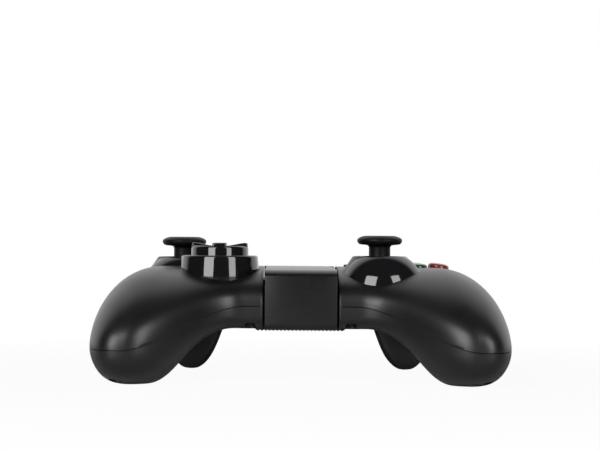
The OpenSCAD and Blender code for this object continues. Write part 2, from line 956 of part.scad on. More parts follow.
module bumper_pins() {
  color("#b9bcc0")
  both()
    along_x(bumper_pin_r, lug_x0 - lug_gap - rib_t, lug_x0 + lug_w + lug_gap + rib_t,
      bumper_pin_y, bumper_pin_z);
}

// torsion spring round the trigger pin, swept with a square wire
spring_r = trigger_pin_d / 2 + 0.75;
spring_turns = 4;
module torsion_spring() {
  n = 9 * spring_turns;
  w = 0.35;
  x0 = trigger_x0 + trigger_w / 2 - 3;
  points = [for (i = [0:n]) for (c = [[-w, -w], [w, -w], [w, w], [-w, w]])
    let (a = 40 * i) [x0 + 6 * i / n + c[0], trigger_y + (spring_r + c[1]) * cos(a),
      trigger_z + (spring_r + c[1]) * sin(a)]];
  sides = [for (i = [0:n - 1]) for (k = [0:3])
    each quad(4 * i + k, 4 * i + (k + 1) % 4, 4 * i + 4 + (k + 1) % 4, 4 * i + 4 + k)];
  polyhedron(points, concat(sides, [[3, 2, 1, 0], [4 * n, 4 * n + 1, 4 * n + 2, 4 * n + 3]]), convexity = 9);
}

module trigger_springs() {
  color("#c8cbd0")
  both()
    torsion_spring();
}

// trigger: a curved finger plate cut from a side outline and a front outline, on two hubs
module trigger_form() {
  x1 = trigger_x0 + trigger_w;
  mid_x = trigger_x0 + trigger_w / 2;
  low_x = mid_x + 1.4;
  side = concat(
    bezier([35.2, 32], [39, 32.4], [44.4, 33.4], [45.4, 29], 6),
    bezier([45.4, 29], [46.6, 22], [46.2, 9], [52.7, 4.8], 9),
    bezier([53, 4], [53, 3], [52.2, 2.2], [50.6, 1.8], 4),
    bezier([49, 1.5], [45, 0.6], [42, 0.3], [40.4, 0.5], 4),
    bezier([39.2, 0.8], [37.4, 4], [38.6, 12], [38.8, 19], 8),
    bezier([38.8, 21], [38.6, 25], [38.2, 27], [35.2, 27], 6));
  front = concat(
    [[trigger_x0, 40], [trigger_x0, 21]],
    bezier([trigger_x0, 19], [trigger_x0 + 3.2, 10.5], [trigger_x0 + 6, 0.3], [low_x, 0.3], 9),
    bezier([low_x + 0.2, 0.3], [x1 - 4, 0.3], [x1, 7], [x1, 19], 9),
    [[x1, 40]]);
  difference() {
    union() {
      intersection() {
        carried(trigger_x0, x1, side);
        translate([0, 70, 0])
          rotate([90, 0, 0])
            linear_extrude(60)
              polygon(front);
      }
      along_x(trigger_hub_r, trigger_x0, x1, trigger_y, trigger_z);
    }
    along_x(trigger_pin_d / 2 + pin_clear, bay_x0 - 9, bay_x1 + 9, trigger_y, trigger_z);
    block(mid_x - 5, mid_x + 5, 20, trigger_y + 3.6, 24, 40);
  }
}

module left_trigger() {
  color("#151618")
  mirror([1, 0, 0])
    trigger_form();
}

module right_trigger() {
  color("#151618")
  trigger_form();
}

// bumper: the case's own skin carried on across the cut-out, with a hinge lug in front
module bumper_form() {
  n = 10;
  m = 9;
  d = -0.4;
  function section(x) = let (u0 = across(x, bumper_y, d), s = seam(x, bumper_y),
      v = (bumper_low - s) / (crest(x, d) - s), u1 = bulge(v, 4), a0 = acos(u0), a1 = acos(u1))
    concat([[x, bumper_y, bumper_low]], [for (k = [0:m]) let (u = cos(mix(a0, a1, k / m)),
      f = edge_front(x, d), b = edge_back(x, d), y = (f + b) / 2 + u * (b - f) / 2)
      [x, y, k == m ? bumper_low : top_z(x, y, u, d)]]);
  q = m + 2;
  points = [for (i = [0:n]) each section(mix(bumper_x0, bumper_x1, i / n))];
  sides = [for (i = [0:n - 1]) for (k = [0:q - 1])
    each quad(i * q + k, i * q + (k + 1) % q, (i + 1) * q + (k + 1) % q, (i + 1) * q + k)];
  difference() {
    union() {
      polyhedron(points, concat(sides, [[for (k = [q - 1:-1:0]) k], [for (k = [0:q - 1]) n * q + k]]),
        convexity = 6);
      translate([0, bumper_pin_y, bumper_pin_z])
        carried(lug_x0, lug_x0 + lug_w,
          [[0, -1.8], [3.4, -1.8], [3.4, 1.8], [0, 1.8], [-1.6, 1], [-1.7, -0.8]]);
    }
    along_x(bumper_pin_r + pin_clear, lug_x0 - 3, lug_x0 + lug_w + 3, bumper_pin_y, bumper_pin_z);
    block(bumper_x0 + 2, lug_x0 - 1, 36, 39, 30, 36.4);
    block(lug_x0 + lug_w + 2, bumper_x1 - 3, 36, 38, 30, 36);
  }
}

module left_bumper() {
  color("#101113")
  mirror([1, 0, 0])
    bumper_form();
}

module right_bumper() {
  color("#101113")
  bumper_form();
}

// phone clamp

// tray under the arm, with the two hinge ears
module clamp_tray() {
  color("#1a1b1d")
  difference() {
    union() {
      block(-slot_x + 0.2, slot_x - 0.2, notch_y + 2.2, 41, tray_z, tray_z + 1.3);
      both() {
        along_x(2, 11.75, slot_x - 0.2, hinge_y, hinge_z);
        block(11.75, slot_x - 0.2, hinge_y - 1.8, hinge_y + 1.8, tray_z, hinge_z);
      }
    }
    along_x(1.12, -20, 20, hinge_y, hinge_z);
  }
}

module clamp_pin() {
  color("#b9bcc0")
  along_x(1.1, -slot_x + 0.4, slot_x - 0.4, hinge_y, hinge_z);
}

// arm: a flat sleeve that folds up about the pin, the jaw's tongue runs in its slot
module clamp_arm() {
  color("#202124")
  difference() {
    union() {
      translate([0, 35.4, 0])
        rotate([90, 0, 0])
          linear_extrude(35.4 + 13.3)
            union() {
              translate([-clamp_x, arm_low])
                square([clamp_w, arm_top - arm_low - 0.8]);
              translate([0, arm_top - 0.8])
                pill(0.8, clamp_w - 1.6);
            }
      block(-11.45, 11.45, 35, hinge_y, hinge_z - 1.6, hinge_z + 1.6);
      along_x(2, -11.45, 11.45, hinge_y, hinge_z);
    }
    along_x(1.1 + pin_clear, -20, 20, hinge_y, hinge_z);
    block(-8.9, 8.9, -20, 27, 38.95, 41.1);
  }
}

// jaw: hollow block that hooks over the front of the case, with its tongue
module clamp_jaw() {
  z0 = belly_z + 0.2;
  z1 = cover_z - 0.3;
  color("#202124")
  difference() {
    union() {
      carried(-clamp_x, clamp_x, concat([[jaw_back, z0]],
        bezier([jaw_front + 2, z0], [jaw_front + 0.8, z0], [jaw_front, z0 + 0.8], [jaw_front, z0 + 2.4], 5),
        [[jaw_front, z1], [jaw_back, z1]]));
      block(-8.7, 8.7, jaw_back - 0.4, 25, 39.1, 40.9);
    }
    block(-11.4, 11.4, jaw_front + 2.2, jaw_back + 0.1, z0 + 2.2, z1 - 2.2);
  }
}

module clamp_cover() {
  back = jaw_back - 0.6;
  color("#2a2b2e")
  union() {
    carried(-clamp_x, clamp_x, concat([[back, cover_z]],
      bezier([jaw_front, cover_z], [jaw_front + 0.2, cover_z + 1.2], [jaw_front + 1.6, arm_top],
        [jaw_front + 4, arm_top], 6), [[back, arm_top]]));
    block(-clamp_x + 0.8, clamp_x - 0.8, jaw_front + 0.8, back - 0.4, cover_z - 0.3, cover_z + 0.2);
  }
}

module clamp_pad() {
  color("#121213")
  block(-11.2, 11.2, jaw_back - 1.6, jaw_back + 1.4, belly_z + 2.6, cover_z - 2.7);
}

top_shell();
bottom_shell();
grip_pad();
case_screws();
left_stick_eye();
right_stick_eye();
dpad_collar();
dpad_post();
dpad_gimbal();
dpad();
dpad_membrane();
button_membrane();
button_a();
button_b();
button_x();
button_y();
select_button();
start_button();
home_button();
status_light();
menu_switches();
main_board();
battery();
usb_socket();
left_stick_frame();
left_stick_sensors();
left_stick_yoke();
left_stick_rocker();
left_stick_sleeve();
left_stick_shaft();
left_stick_cap();
right_stick_frame();
right_stick_sensors();
right_stick_yoke();
right_stick_rocker();
right_stick_sleeve();
right_stick_shaft();
right_stick_cap();
left_bracket();
right_bracket();
trigger_pins();
bumper_pins();
trigger_springs();
left_trigger();
right_trigger();
left_bumper();
right_bumper();
clamp_tray();
clamp_pin();
clamp_arm();
clamp_jaw();
clamp_cover();
clamp_pad();
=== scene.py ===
# %% [markdown]
# # A black gamepad with a phone clamp
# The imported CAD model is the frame: every piece below sits where the CAD says and rides on one of
# its bodies. Pieces that the eye sees first are rebuilt here with smoother surfaces and small
# rounded edges; the rest keep their CAD shape and get a finish. Lengths are worked in millimetres
# and turned into metres when a mesh is made.

# %% Load the frame
import bpy, bmesh, math
import numpy as np
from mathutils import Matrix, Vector


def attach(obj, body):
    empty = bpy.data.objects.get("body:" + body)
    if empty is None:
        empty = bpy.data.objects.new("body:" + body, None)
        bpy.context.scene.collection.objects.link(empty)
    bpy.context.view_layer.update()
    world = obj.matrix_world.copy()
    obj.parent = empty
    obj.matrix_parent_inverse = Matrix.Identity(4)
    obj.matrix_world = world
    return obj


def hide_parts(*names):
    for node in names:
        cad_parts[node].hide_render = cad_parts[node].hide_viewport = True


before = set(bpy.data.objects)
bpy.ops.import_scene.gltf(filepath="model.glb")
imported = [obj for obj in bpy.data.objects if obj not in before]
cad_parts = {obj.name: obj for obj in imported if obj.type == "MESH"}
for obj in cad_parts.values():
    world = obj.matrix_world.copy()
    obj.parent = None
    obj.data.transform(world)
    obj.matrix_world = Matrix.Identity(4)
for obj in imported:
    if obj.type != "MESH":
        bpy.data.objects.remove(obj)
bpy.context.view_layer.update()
MM = 0.001
scene = bpy.context.scene

# %% [markdown]
# ## Colours and nodes
# Colours are written as sRGB hex values, as a paint chart gives them, and turned to linear light
# once. `add` puts a shader or geometry node into a tree, `calc` a step of arithmetic and `mixed` a
# blend of two shaders. In each of them a socket is linked and anything else is set.

# %% Node helpers
def ink(code):
    parts = [int(code[k:k + 2], 16) / 255 for k in (1, 3, 5)]
    return tuple(c / 12.92 if c <= 0.04045 else ((c + 0.055) / 1.055) ** 2.4 for c in parts) + (1.0,)


def plug(tree, socket, value):
    if isinstance(value, bpy.types.NodeSocket):
        tree.links.new(value, socket)
    else:
        socket.default_value = value


def add(tree, kind, settings=(), **inputs):
    made = tree.nodes.new(kind)
    for name, value in dict(settings).items():
        setattr(made, name, value)
    for name, value in inputs.items():
        plug(tree, made.inputs[name.replace("_", " ")], value)
    return made


def calc(tree, operation, *values):
    made = add(tree, "ShaderNodeMath", {"operation": operation})
    for socket, value in zip(made.inputs, values):
        plug(tree, socket, value)
    return made.outputs[0]


def mixed(tree, share, first, second):
    made = add(tree, "ShaderNodeMixShader", Fac=share)
    plug(tree, made.inputs[1], first.outputs[0])
    plug(tree, made.inputs[2], second.outputs[0])
    return made.outputs[0]


def two_tone(tree, value, dark, light, start=0.0, end=1.0):
    """A ramp from a dark to a light colour."""
    made = add(tree, "ShaderNodeValToRGB", Fac=value)
    for stop, code, place in zip(made.color_ramp.elements, (dark, light), (start, end)):
        stop.color = ink(code)
        stop.position = place
    return made.outputs["Color"]


def bare(name):
    """A new material with an empty tree, and the object's own coordinates to draw on."""
    made = bpy.data.materials.new(name)
    made.use_nodes = True
    made.node_tree.nodes.clear()
    return made, made.node_tree, add(made.node_tree, "ShaderNodeTexCoord").outputs["Object"]


# %% [markdown]
# ## Moulded finishes
# Most of the pad is injection-moulded. A moulded skin copies the tool it was pressed against: a
# spark-eroded tool leaves a fine grain of about 0.1 mm, drawn here near 0.4 mm so that it shows,
# and the gloss drifts a little over a few centimetres where hands rub it. One function makes all
# of these, with the grain, its depth and the two roughness limits as its sizes.

# %% Moulded finishes
BAND = (0.3, 0.7)  # the middle of the noise's range, which it fills
ABS = 1.53         # refractive index of the plastic


def moulded(name, dark, light, rough, grain_mm, depth_mm, patch_mm=14, **shader):
    made, tree, place = bare(name)
    patch = add(tree, "ShaderNodeTexNoise", Vector=place, Scale=1000 / patch_mm, Detail=3.0).outputs["Fac"]
    grain = add(tree, "ShaderNodeTexNoise", Vector=place, Scale=1000 / grain_mm, Detail=2.0).outputs["Fac"]
    gloss = add(tree, "ShaderNodeMapRange", Value=patch, From_Min=BAND[0], From_Max=BAND[1],
                To_Min=rough[0], To_Max=rough[1])
    relief = add(tree, "ShaderNodeBump", Height=grain, Distance=depth_mm * MM, Strength=0.6)
    skin = add(tree, "ShaderNodeBsdfPrincipled", Base_Color=two_tone(tree, patch, dark, light, *BAND),
               Roughness=gloss.outputs["Result"], Normal=relief.outputs["Normal"], **shader)
    add(tree, "ShaderNodeOutputMaterial", Surface=skin.outputs["BSDF"])
    return made


# ABS, moulded in a spark-eroded tool: nearly black, satin, with broad soft reflections
shell_abs = moulded("satin_abs_top", "#0c0c0e", "#101113", (0.33, 0.38), 0.42, 0.006, IOR=ABS)
belly_abs = moulded("satin_abs_bottom", "#0b0b0d", "#0f1012", (0.34, 0.39), 0.42, 0.006, IOR=ABS)
# the clamp is moulded from the same ABS in a finer tool
clamp_abs = moulded("satin_abs_clamp", "#0e0e10", "#121315", (0.26, 0.30), 0.30, 0.006, IOR=ABS,
                    Specular_IOR_Level=0.42)
# the triggers are duller than the case, and their colour is painted a shade lighter than the case's: painted
# light for the shade they stand in behind the pad
trigger_abs_painted_lighter = moulded("satin_abs_trigger_painted_lighter", "#28282a", "#2e2e30", (0.42, 0.50), 0.42, 0.010, IOR=ABS)
# polished ABS under a clear coat: black with sharp reflections
piano_abs = moulded("polished_black_abs", "#0f0f11", "#131315", (0.06, 0.10), 1.5, 0.002, IOR=ABS,
                    Coat_Weight=0.4, Coat_Roughness=0.04)
# bumpers and small keys: polished a little more than the case
key_abs = moulded("key_black_abs", "#0e0f11", "#131416", (0.24, 0.32), 0.5, 0.005, IOR=ABS)
# soft thumb caps and pads: silicone-rubber, matte, with a fine sand grain
rubber = moulded("black_silicone_rubber", "#0b0b0c", "#0f0f10", (0.40, 0.48), 0.35, 0.012, IOR=1.45,
                 Specular_IOR_Level=0.18)
# inner mouldings: brackets and posts in plain black ABS, white slide parts in acetal
bracket_abs = moulded("bracket_abs", "#1d1e21", "#26272a", (0.45, 0.55), 0.6, 0.01, IOR=ABS)
acetal = moulded("white_acetal", "#cfcabc", "#dcd8cc", (0.30, 0.42), 0.8, 0.004, IOR=1.48)
sensor_blue = moulded("sensor_nylon", "#234a72", "#2f5f8f", (0.35, 0.5), 0.7, 0.006, IOR=1.53)
membrane = moulded("grey_silicone", "#4a4d51", "#5b5e63", (0.6, 0.75), 0.5, 0.01, IOR=1.43)
board = moulded("green_solder_mask", "#17482a", "#246b3f", (0.22, 0.4), 1.2, 0.02, 3, IOR=1.5)
light_pipe = moulded("clear_acrylic", "#93a8b8", "#b3c5d2", (0.15, 0.25), 1.0, 0.004, IOR=1.49,
                     Transmission_Weight=0.5)
# face buttons: coloured right through, polished and coated
tints = {"a": ("green", "#24401f", "#2c4d26"), "b": ("red", "#7a2320", "#8a2b26"),
         "x": ("blue", "#1c3272", "#243e86"), "y": ("yellow", "#7a661c", "#8a7424")}
button_tint = {key: moulded(f"{colour}_polished_abs", dark, light, (0.12, 0.18), 1.2, 0.003, IOR=ABS,
                            Coat_Weight=0.3) for key, (colour, dark, light) in tints.items()}
print("face button colours:", [made.name for made in button_tint.values()])

# %% [markdown]
# ## Metals
# Pins and springs are drawn steel wire, with fine lines along the drawing direction; the stick
# frames and the socket are stamped and tin-plated sheet; the battery sits in aluminium foil.
# A metal keeps the default IOR, and its colour is its reflection.

# %% Metals
def metal(name, dark, light, rough, line_mm, stretch=(1, 1, 1), depth_mm=0.002):
    made, tree, place = bare(name)
    drawn = add(tree, "ShaderNodeMapping", Vector=place, Scale=stretch).outputs["Vector"]
    lines = add(tree, "ShaderNodeTexNoise", Vector=drawn, Scale=1000 / line_mm, Detail=3.0).outputs["Fac"]
    gloss = add(tree, "ShaderNodeMapRange", Value=lines, To_Min=rough[0], To_Max=rough[1])
    relief = add(tree, "ShaderNodeBump", Height=lines, Distance=depth_mm * MM, Strength=0.5)
    skin = add(tree, "ShaderNodeBsdfPrincipled", Base_Color=two_tone(tree, lines, dark, light),
               Metallic=1.0, Roughness=gloss.outputs["Result"], Normal=relief.outputs["Normal"])
    add(tree, "ShaderNodeOutputMaterial", Surface=skin.outputs["BSDF"])
    return made


drawn_steel = metal("drawn_steel", "#9a9da1", "#c4c7cb", (0.22, 0.38), 0.4, (0.05, 1, 1))
dark_steel = metal("blackened_steel", "#2c2d30", "#47484c", (0.35, 0.5), 0.5)
tin_plate = metal("tin_plated_sheet", "#8f9398", "#b3b7bc", (0.3, 0.45), 1.2)
foil = metal("battery_foil", "#868c92", "#a9afb5", (0.25, 0.5), 2.5, (1, 1, 1), 0.06)
print("metals:", [made.name for made in (drawn_steel, dark_steel, tin_plate, foil)])

# %% [markdown]
# ## Pieces
# A piece is a mesh at the origin with its place in its points. `dress` turns its faces outward,
# smooths it, gives it its finish, ties it to a body and hides the CAD nodes that it stands for.

# %% Pieces
SAME = 1e-7  # metres: points this close are one point


def solid(name, points, faces):
    """Makes an object from points in millimetres."""
    data = bpy.data.meshes.new(name)
    data.from_pydata((np.asarray(points, float) * MM).tolist(), [], faces)
    made = bpy.data.objects.new(name, data)
    scene.collection.objects.link(made)
    return made


def outward(data, merge=True):
    work = bmesh.new()
    work.from_mesh(data)
    if merge:
        bmesh.ops.remove_doubles(work, verts=work.verts, dist=SAME)
    bmesh.ops.recalc_face_normals(work, faces=work.faces)
    work.to_mesh(data)
    work.free()


def dress(made, finish, body, *nodes, sharp=38):
    outward(made.data)
    made.data.shade_smooth()
    made.data.set_sharp_from_angle(angle=math.radians(sharp))
    made.data.materials.clear()
    made.data.materials.append(finish)
    if body:
        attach(made, body)
    if nodes:
        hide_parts(*nodes)
    return made


def piece(name, points, faces, finish, body, *nodes, sharp=38):
    return dress(solid(name, points, faces), finish, body, *nodes, sharp=sharp)


# %% [markdown]
# ## Forms
# `turned` spins a profile of (radius, height) points about a vertical axis, `carried` pushes an
# outline in Y and Z along X, and `eased` rounds the corners of either with short curves, as a
# mould maker breaks every edge. Each form is a list of points and a list of faces.

# %% Forms
def quads(a, b, c, d):
    """Four-sided faces from four arrays of point numbers."""
    return np.stack([a, b, c, d], -1).reshape(-1, 4).tolist()


def tube_faces(rings, count):
    """The faces between neighbouring rings of so many points each."""
    return [(k * count + i, k * count + (i + 1) % count, (k + 1) * count + (i + 1) % count,
             (k + 1) * count + i) for k in range(rings - 1) for i in range(count)]


def end_faces(rings, count):
    return [tuple(range(count)), tuple((rings - 1) * count + i for i in range(count))]


def eased(points, radius, steps=4, closed=False):
    """Rounds the corners of a polyline; a number per corner may be given instead of one radius."""
    points = [np.asarray(p, float) for p in points]
    count = len(points)
    radii = list(radius) if hasattr(radius, "__len__") else [radius] * count
    out = []
    for k, p in enumerate(points):
        if (not closed and k in (0, count - 1)) or radii[k] == 0:
            out.append(p)
            continue
        a, b = points[k - 1] - p, points[(k + 1) % count] - p
        la, lb = np.linalg.norm(a), np.linalg.norm(b)
        t = min(radii[k], la * 0.48, lb * 0.48)
        a, b = p + a / la * t, p + b / lb * t
        out += [(1 - s) ** 2 * a + 2 * s * (1 - s) * p + s * s * b for s in np.linspace(0, 1, steps + 1)]
    return np.array(out)


def bezier(a, b, c, d, n):
    t = np.linspace(0, 1, n + 1)[:, None]
    a, b, c, d = (np.asarray(p, float) for p in (a, b, c, d))
    return (1 - t) ** 3 * a + 3 * (1 - t) ** 2 * t * b + 3 * (1 - t) * t * t * c + t ** 3 * d


def whole_turn(count):
    return np.linspace(0, 2 * math.pi, count, endpoint=False)


def turned(profile, centre, count=96):
    points = [(centre[0] + r * math.cos(a), centre[1] + r * math.sin(a), z)
              for r, z in profile for a in whole_turn(count)]
    return points, tube_faces(len(profile), count)


def turned_ring(profile, centre, count=96):
    points, faces = turned(profile, centre, count)
    last = (len(profile) - 1) * count
    return points, faces + [(last + i, last + (i + 1) % count, (i + 1) % count, i) for i in range(count)]


def rod(r, centre, z0, z1, count=64):
    return turned([(0, z0), (r, z0), (r, z1), (0, z1)], centre, count)


def prism(near, far):
    """Joins two outlines with the same number of points into a closed solid."""
    n = len(near)
    return near + far, [tuple(range(n)), tuple(range(2 * n - 1, n - 1, -1))] + tube_faces(2, n)


def carried(outline, x0, x1):
    return prism([(x0, y, z) for y, z in outline], [(x1, y, z) for y, z in outline])


def slab(x0, x1, y0, y1, z0, z1):
    return carried([(y0, z0), (y1, z0), (y1, z1), (y0, z1)], x0, x1)


def pill(x, y, r, length, z0, z1):
    bend = np.linspace(-math.pi / 2, math.pi / 2, 17)
    ring = [(x + length / 2 + r * math.cos(t), y + r * math.sin(t)) for t in bend]
    ring += [(x - length / 2 - r * math.cos(t), y - r * math.sin(t)) for t in bend]
    return prism([(px, py, z0) for px, py in ring], [(px, py, z1) for px, py in ring])


def round_bar(r, y, z, x0, x1, count=40):
    """A bar along X."""
    return carried([(y + r * math.cos(t), z + r * math.sin(t)) for t in whole_turn(count)], x0, x1)


def joined(forms):
    """Puts several forms into one."""
    points, faces = [], []
    for more_points, more_faces in forms:
        faces += [tuple(v + len(points) for v in face) for face in more_faces]
        points += more_points
    return points, faces


def span(side, a, b):
    """A stretch of X on the left (-1) or the right (1) half, in rising order."""
    return sorted((side * a, side * b))


# %% [markdown]
# ## Working a piece
# Simple forms are added to a piece or cut away from it, and sharp edges are broken. Each step is
# a modifier that is turned into plain mesh at once.

# %% Working a piece
def baked(made):
    view = bpy.context.evaluated_depsgraph_get()
    data = bpy.data.meshes.new_from_object(made.evaluated_get(view))
    made.modifiers.clear()
    made.data = data
    return made


def broken_edges(made, width_mm, segments=3, angle=40):
    """Rounds the edges of a piece that are sharper than the angle."""
    bevel = made.modifiers.new("broken edges", "BEVEL")
    bevel.width = width_mm * MM
    bevel.segments = segments
    bevel.limit_method = "ANGLE"
    bevel.angle_limit = math.radians(angle)
    bevel.use_clamp_overlap = True
    return baked(made)


def worked(made, form, operation):
    tool = solid("tool", *form)
    outward(tool.data)
    step = made.modifiers.new("step", "BOOLEAN")
    step.operation = operation
    step.object = tool
    step.solver = "MANIFOLD"
    baked(made)
    bpy.data.objects.remove(tool)


def join(made, form):
    worked(made, form, "UNION")


def cut(made, form):
    worked(made, form, "DIFFERENCE")


# %% [markdown]
# ## The case as a rule
# The case has no flat or round face: it is a loft from grip to grip. At each station across the
# width the rule gives a front and a back edge, a crest, a keel and the height of the seam, and a
# superellipse swells between them. The CAD solids follow the same rule. The skins here depart
# from them where the photo's highlights ask for it: the noses of the grips droop less and are
# blunter, and the lower front edge is fuller. `d` is the distance from the outer skin inward.

# %% The case's rule
HALF_W, FACE, BELLY, REACH, WALL = 78.1, 42.6, 19.5, 53, 2
FRONT_Y, BACK_Y, WIDE_Y, TIP_X, CREST_X, KEEL_X = -27, 44, -16, 63.6, 52.75, 61.05
SEAM, TIP_SEAM, WIDE_Z, SINK = 28.5, 13.3, 15.5, -1.9
GRIP_X, SEAM_X, FLOOR_Y, DROOP = (24.7, 56.85), (20.4, 65.85), (-36, 4), 0.003
NOSE_X, DROOP_X, EDGE_X, HIGH_SEAM_X = 22, (20, 58), (18, 40), 45  # where the front and the seam bend
BACK_POWER, TIP_POWER, TOP_POWERS, LOW_POWERS = 4.4, 3, (2.4, 4), (6, 3)  # how square the curves are
LEAST = 1.6  # each half stands at least this far off the seam


def mix(a, b, t):
    return a + (b - a) * t


def ease(a, b, x):
    t = np.clip((x - a) / (b - a), 0, 1)
    return t * t * (3 - 2 * t)


def bulge(u, n):
    return np.maximum(0, 1 - np.abs(u) ** n) ** (1 / n)


def quarter(x, x0, x1):
    return np.sqrt(np.maximum(0, 1 - (np.maximum(0, x - x0) / (x1 - x0)) ** 2))


def edge_back(x, d):
    return mix(WIDE_Y, BACK_Y - d, np.sqrt(np.maximum(0, 1 - (np.abs(x) / (HALF_W - d)) ** BACK_POWER)))


def edge_front(x, d):
    x = np.abs(x)
    outside = np.maximum(0, x - TIP_X) / (HALF_W - d - TIP_X)
    return np.where(x < TIP_X, mix(FRONT_Y + d, d - REACH, ease(NOSE_X, TIP_X, x)),
                    mix(WIDE_Y, d - REACH, bulge(outside, TIP_POWER)))


def crest(x, d):
    return mix(WIDE_Z, FACE - d, quarter(np.abs(x), CREST_X, HALF_W - d))


def keel(x, d):
    x = np.abs(x)
    return np.where(x < KEEL_X, mix(BELLY + d, SINK + d, ease(*GRIP_X, x)),
                    mix(WIDE_Z, SINK + d, quarter(x, KEEL_X, HALF_W - d)))


def seam(x, y):
    front, back = edge_front(x, 0), edge_back(x, 0)
    low = mix(SEAM, TIP_SEAM, ease(*SEAM_X, np.abs(x)))
    high = mix(WIDE_Z, SEAM, quarter(np.abs(x), HIGH_SEAM_X, HALF_W + 0.1))
    return mix(low, high, np.clip((y - front) / np.maximum(0.01, back - front), 0, 1) ** 1.4)


def top_z(x, y, u, d):
    droop = DROOP * np.maximum(0, -y) ** 2 * ease(*DROOP_X, np.abs(x))
    rise = np.maximum(LEAST - 0.7 * d, crest(x, d) - droop - seam(x, y))
    return seam(x, y) + rise * np.where(u < 0, bulge(u, TOP_POWERS[0]), bulge(u, TOP_POWERS[1]))


def low_z(x, y, u, d):
    depth = np.maximum(LEAST - 0.7 * d, seam(x, y) - mix(keel(x, d), BELLY + d, ease(*FLOOR_Y, y)))
    return seam(x, y) - depth * bulge(u, mix(*LOW_POWERS, ease(*EDGE_X, np.abs(x))))


def across(x, y, d):
    """How far a point lies from the middle (0) to the back (1) or the front (-1) edge."""
    front, back = edge_front(x, d), edge_back(x, d)
    return (2 * y - front - back) / (back - front)


def top_at(x, y, d=0.0):
    return float(top_z(x, y, across(x, y, d), d))


def low_at(x, y, d=0.0):
    return float(low_z(x, y, across(x, y, d), d))


print("crest, seam and keel at the tips:", [round(float(f), 2) for f in (
    crest(TIP_X, 0), seam(TIP_X, -REACH), keel(TIP_X, 0))])

# %% [markdown]
# ## Cones and undersides
# Each stick stands in a cone, which is blended into the top skin with a small fillet. Under the
# grips the skin is eased into the table's level, so that the pad rests on two small flats.

# %% Cones and undersides
CONE_R, CONE_SLOPE, CONE_REACH, FILLET = 10.2, 0.67, 22, 1.6
STICKS = {"right": (30.1, -6.5, 47.1, 36.3), "left": (-45.5, 19.0, 45.9, 35.1)}  # x, y, cone top, pivot
SETTLE, SETTLE_Z, ROUNDING = 0.72, (3, 12), 4


def with_cones(x, y, z):
    for cx, cy, top, _ in STICKS.values():
        r = np.hypot(x - cx, y - cy)
        cone = np.minimum(top - (r - CONE_R) / CONE_SLOPE, top)
        near = np.maximum(FILLET - np.abs(z - cone), 0) / FILLET
        z = np.where(r < CONE_REACH, np.maximum(z, cone) + near * near * FILLET * 0.25, z)
    return z


def settled(z):
    rounded = (z + np.sqrt(z * z + ROUNDING)) / 2 - SETTLE * (1 - ease(*SETTLE_Z, z))
    return np.maximum(rounded, 0)


print("cones:", {side: f"top at {top} mm" for side, (_, _, top, _) in STICKS.items()})

# %% [markdown]
# ## One half of the case
# A half is a closed skin: a fine outer grid, a coarser inner one, and a rim along the seam. The
# outer grid stops a little short of the seam, so that the two halves meet in the thin groove that
# shows on the real case.

# %% One half of the case
GROOVE_IN, GROOVE_UP, LAST_STATION = 0.25, 0.2, 0.9997


def half_case(up, stations, steps, inner_steps=30):
    s = np.arange(-stations, stations + 1)
    turn = np.where(np.abs(s) == stations, np.sign(s) * LAST_STATION, np.sin(np.pi / 2 * s / stations))
    rule = top_z if up else low_z

    def grid(d, count):
        x = ((HALF_W - d) * turn)[:, None] * np.ones(count + 1)
        u = np.ones(len(s))[:, None] * -np.cos(np.pi * np.arange(count + 1) / count)
        front, back = edge_front(x, d), edge_back(x, d)
        y = (front + back) / 2 + u * (back - front) / 2
        return x, y, rule(x, y, u, d)

    x, y, z = grid(0, steps)
    if up:
        column = np.arange(steps + 1)
        z = np.where((column > 2) & (column < steps - 2), with_cones(x, y, z), z)
    else:
        z = settled(z)
    outer = np.stack([x, y, z], -1)
    lips = []
    for column, inward in ((0, GROOVE_IN), (steps, -GROOVE_IN)):
        lip = outer[:, column].copy()
        lip[:, 0] *= (HALF_W - GROOVE_IN) / HALF_W
        lip[:, 1] += inward
        outer[:, column, 2] += GROOVE_UP if up else -GROOVE_UP
        lips.append(lip[:, None])
    outer = np.concatenate([lips[0], outer, lips[1]], 1)
    inner = np.stack(grid(WALL, inner_steps), -1)
    a = np.arange(outer.size // 3).reshape(outer.shape[:2])
    b = np.arange(inner.size // 3).reshape(inner.shape[:2]) + a.size
    faces = quads(a[:-1, :-1], a[:-1, 1:], a[1:, 1:], a[1:, :-1])
    faces += quads(b[:-1, :-1], b[1:, :-1], b[1:, 1:], b[:-1, 1:])
    faces += quads(a[:-1, 0], a[1:, 0], b[1:, 0], b[:-1, 0])
    faces += quads(a[:-1, -1], b[:-1, -1], b[1:, -1], a[1:, -1])
    for row in (0, -1):
        faces += [a[row].tolist(), b[row].tolist()]
        faces += quads(a[row, :1], b[row, :1], b[row, -1:], a[row, -1:])
    made = solid("half", np.concatenate([outer.reshape(-1, 3), inner.reshape(-1, 3)]), faces)
    outward(made.data, merge=False)
    return made


def inner_wall(x0, x1, y0, y1, up, level=None):
    """A wall along Y from the skin to the seam, or to a level."""
    far = max(x0, x1, key=abs)
    ys = np.linspace(y0, y1, 25)
    edge = [(y, top_at(far, y, 1) if up else low_at(far, y, 1)) for y in ys]
    base = [(y, float(seam(far, y)) if level is None else level) for y in ys[::-1]]
    return carried(edge + base, x0, x1)


# %% [markdown]
# ## Top half
# Walls are added along the clamp's channel and beside the shoulder bays; then the holes for
# sticks, collar, buttons and keys are cut, and last the channel and the bays themselves. A cut
# reaches from `DEEP` to `HIGH` where nothing stops it.

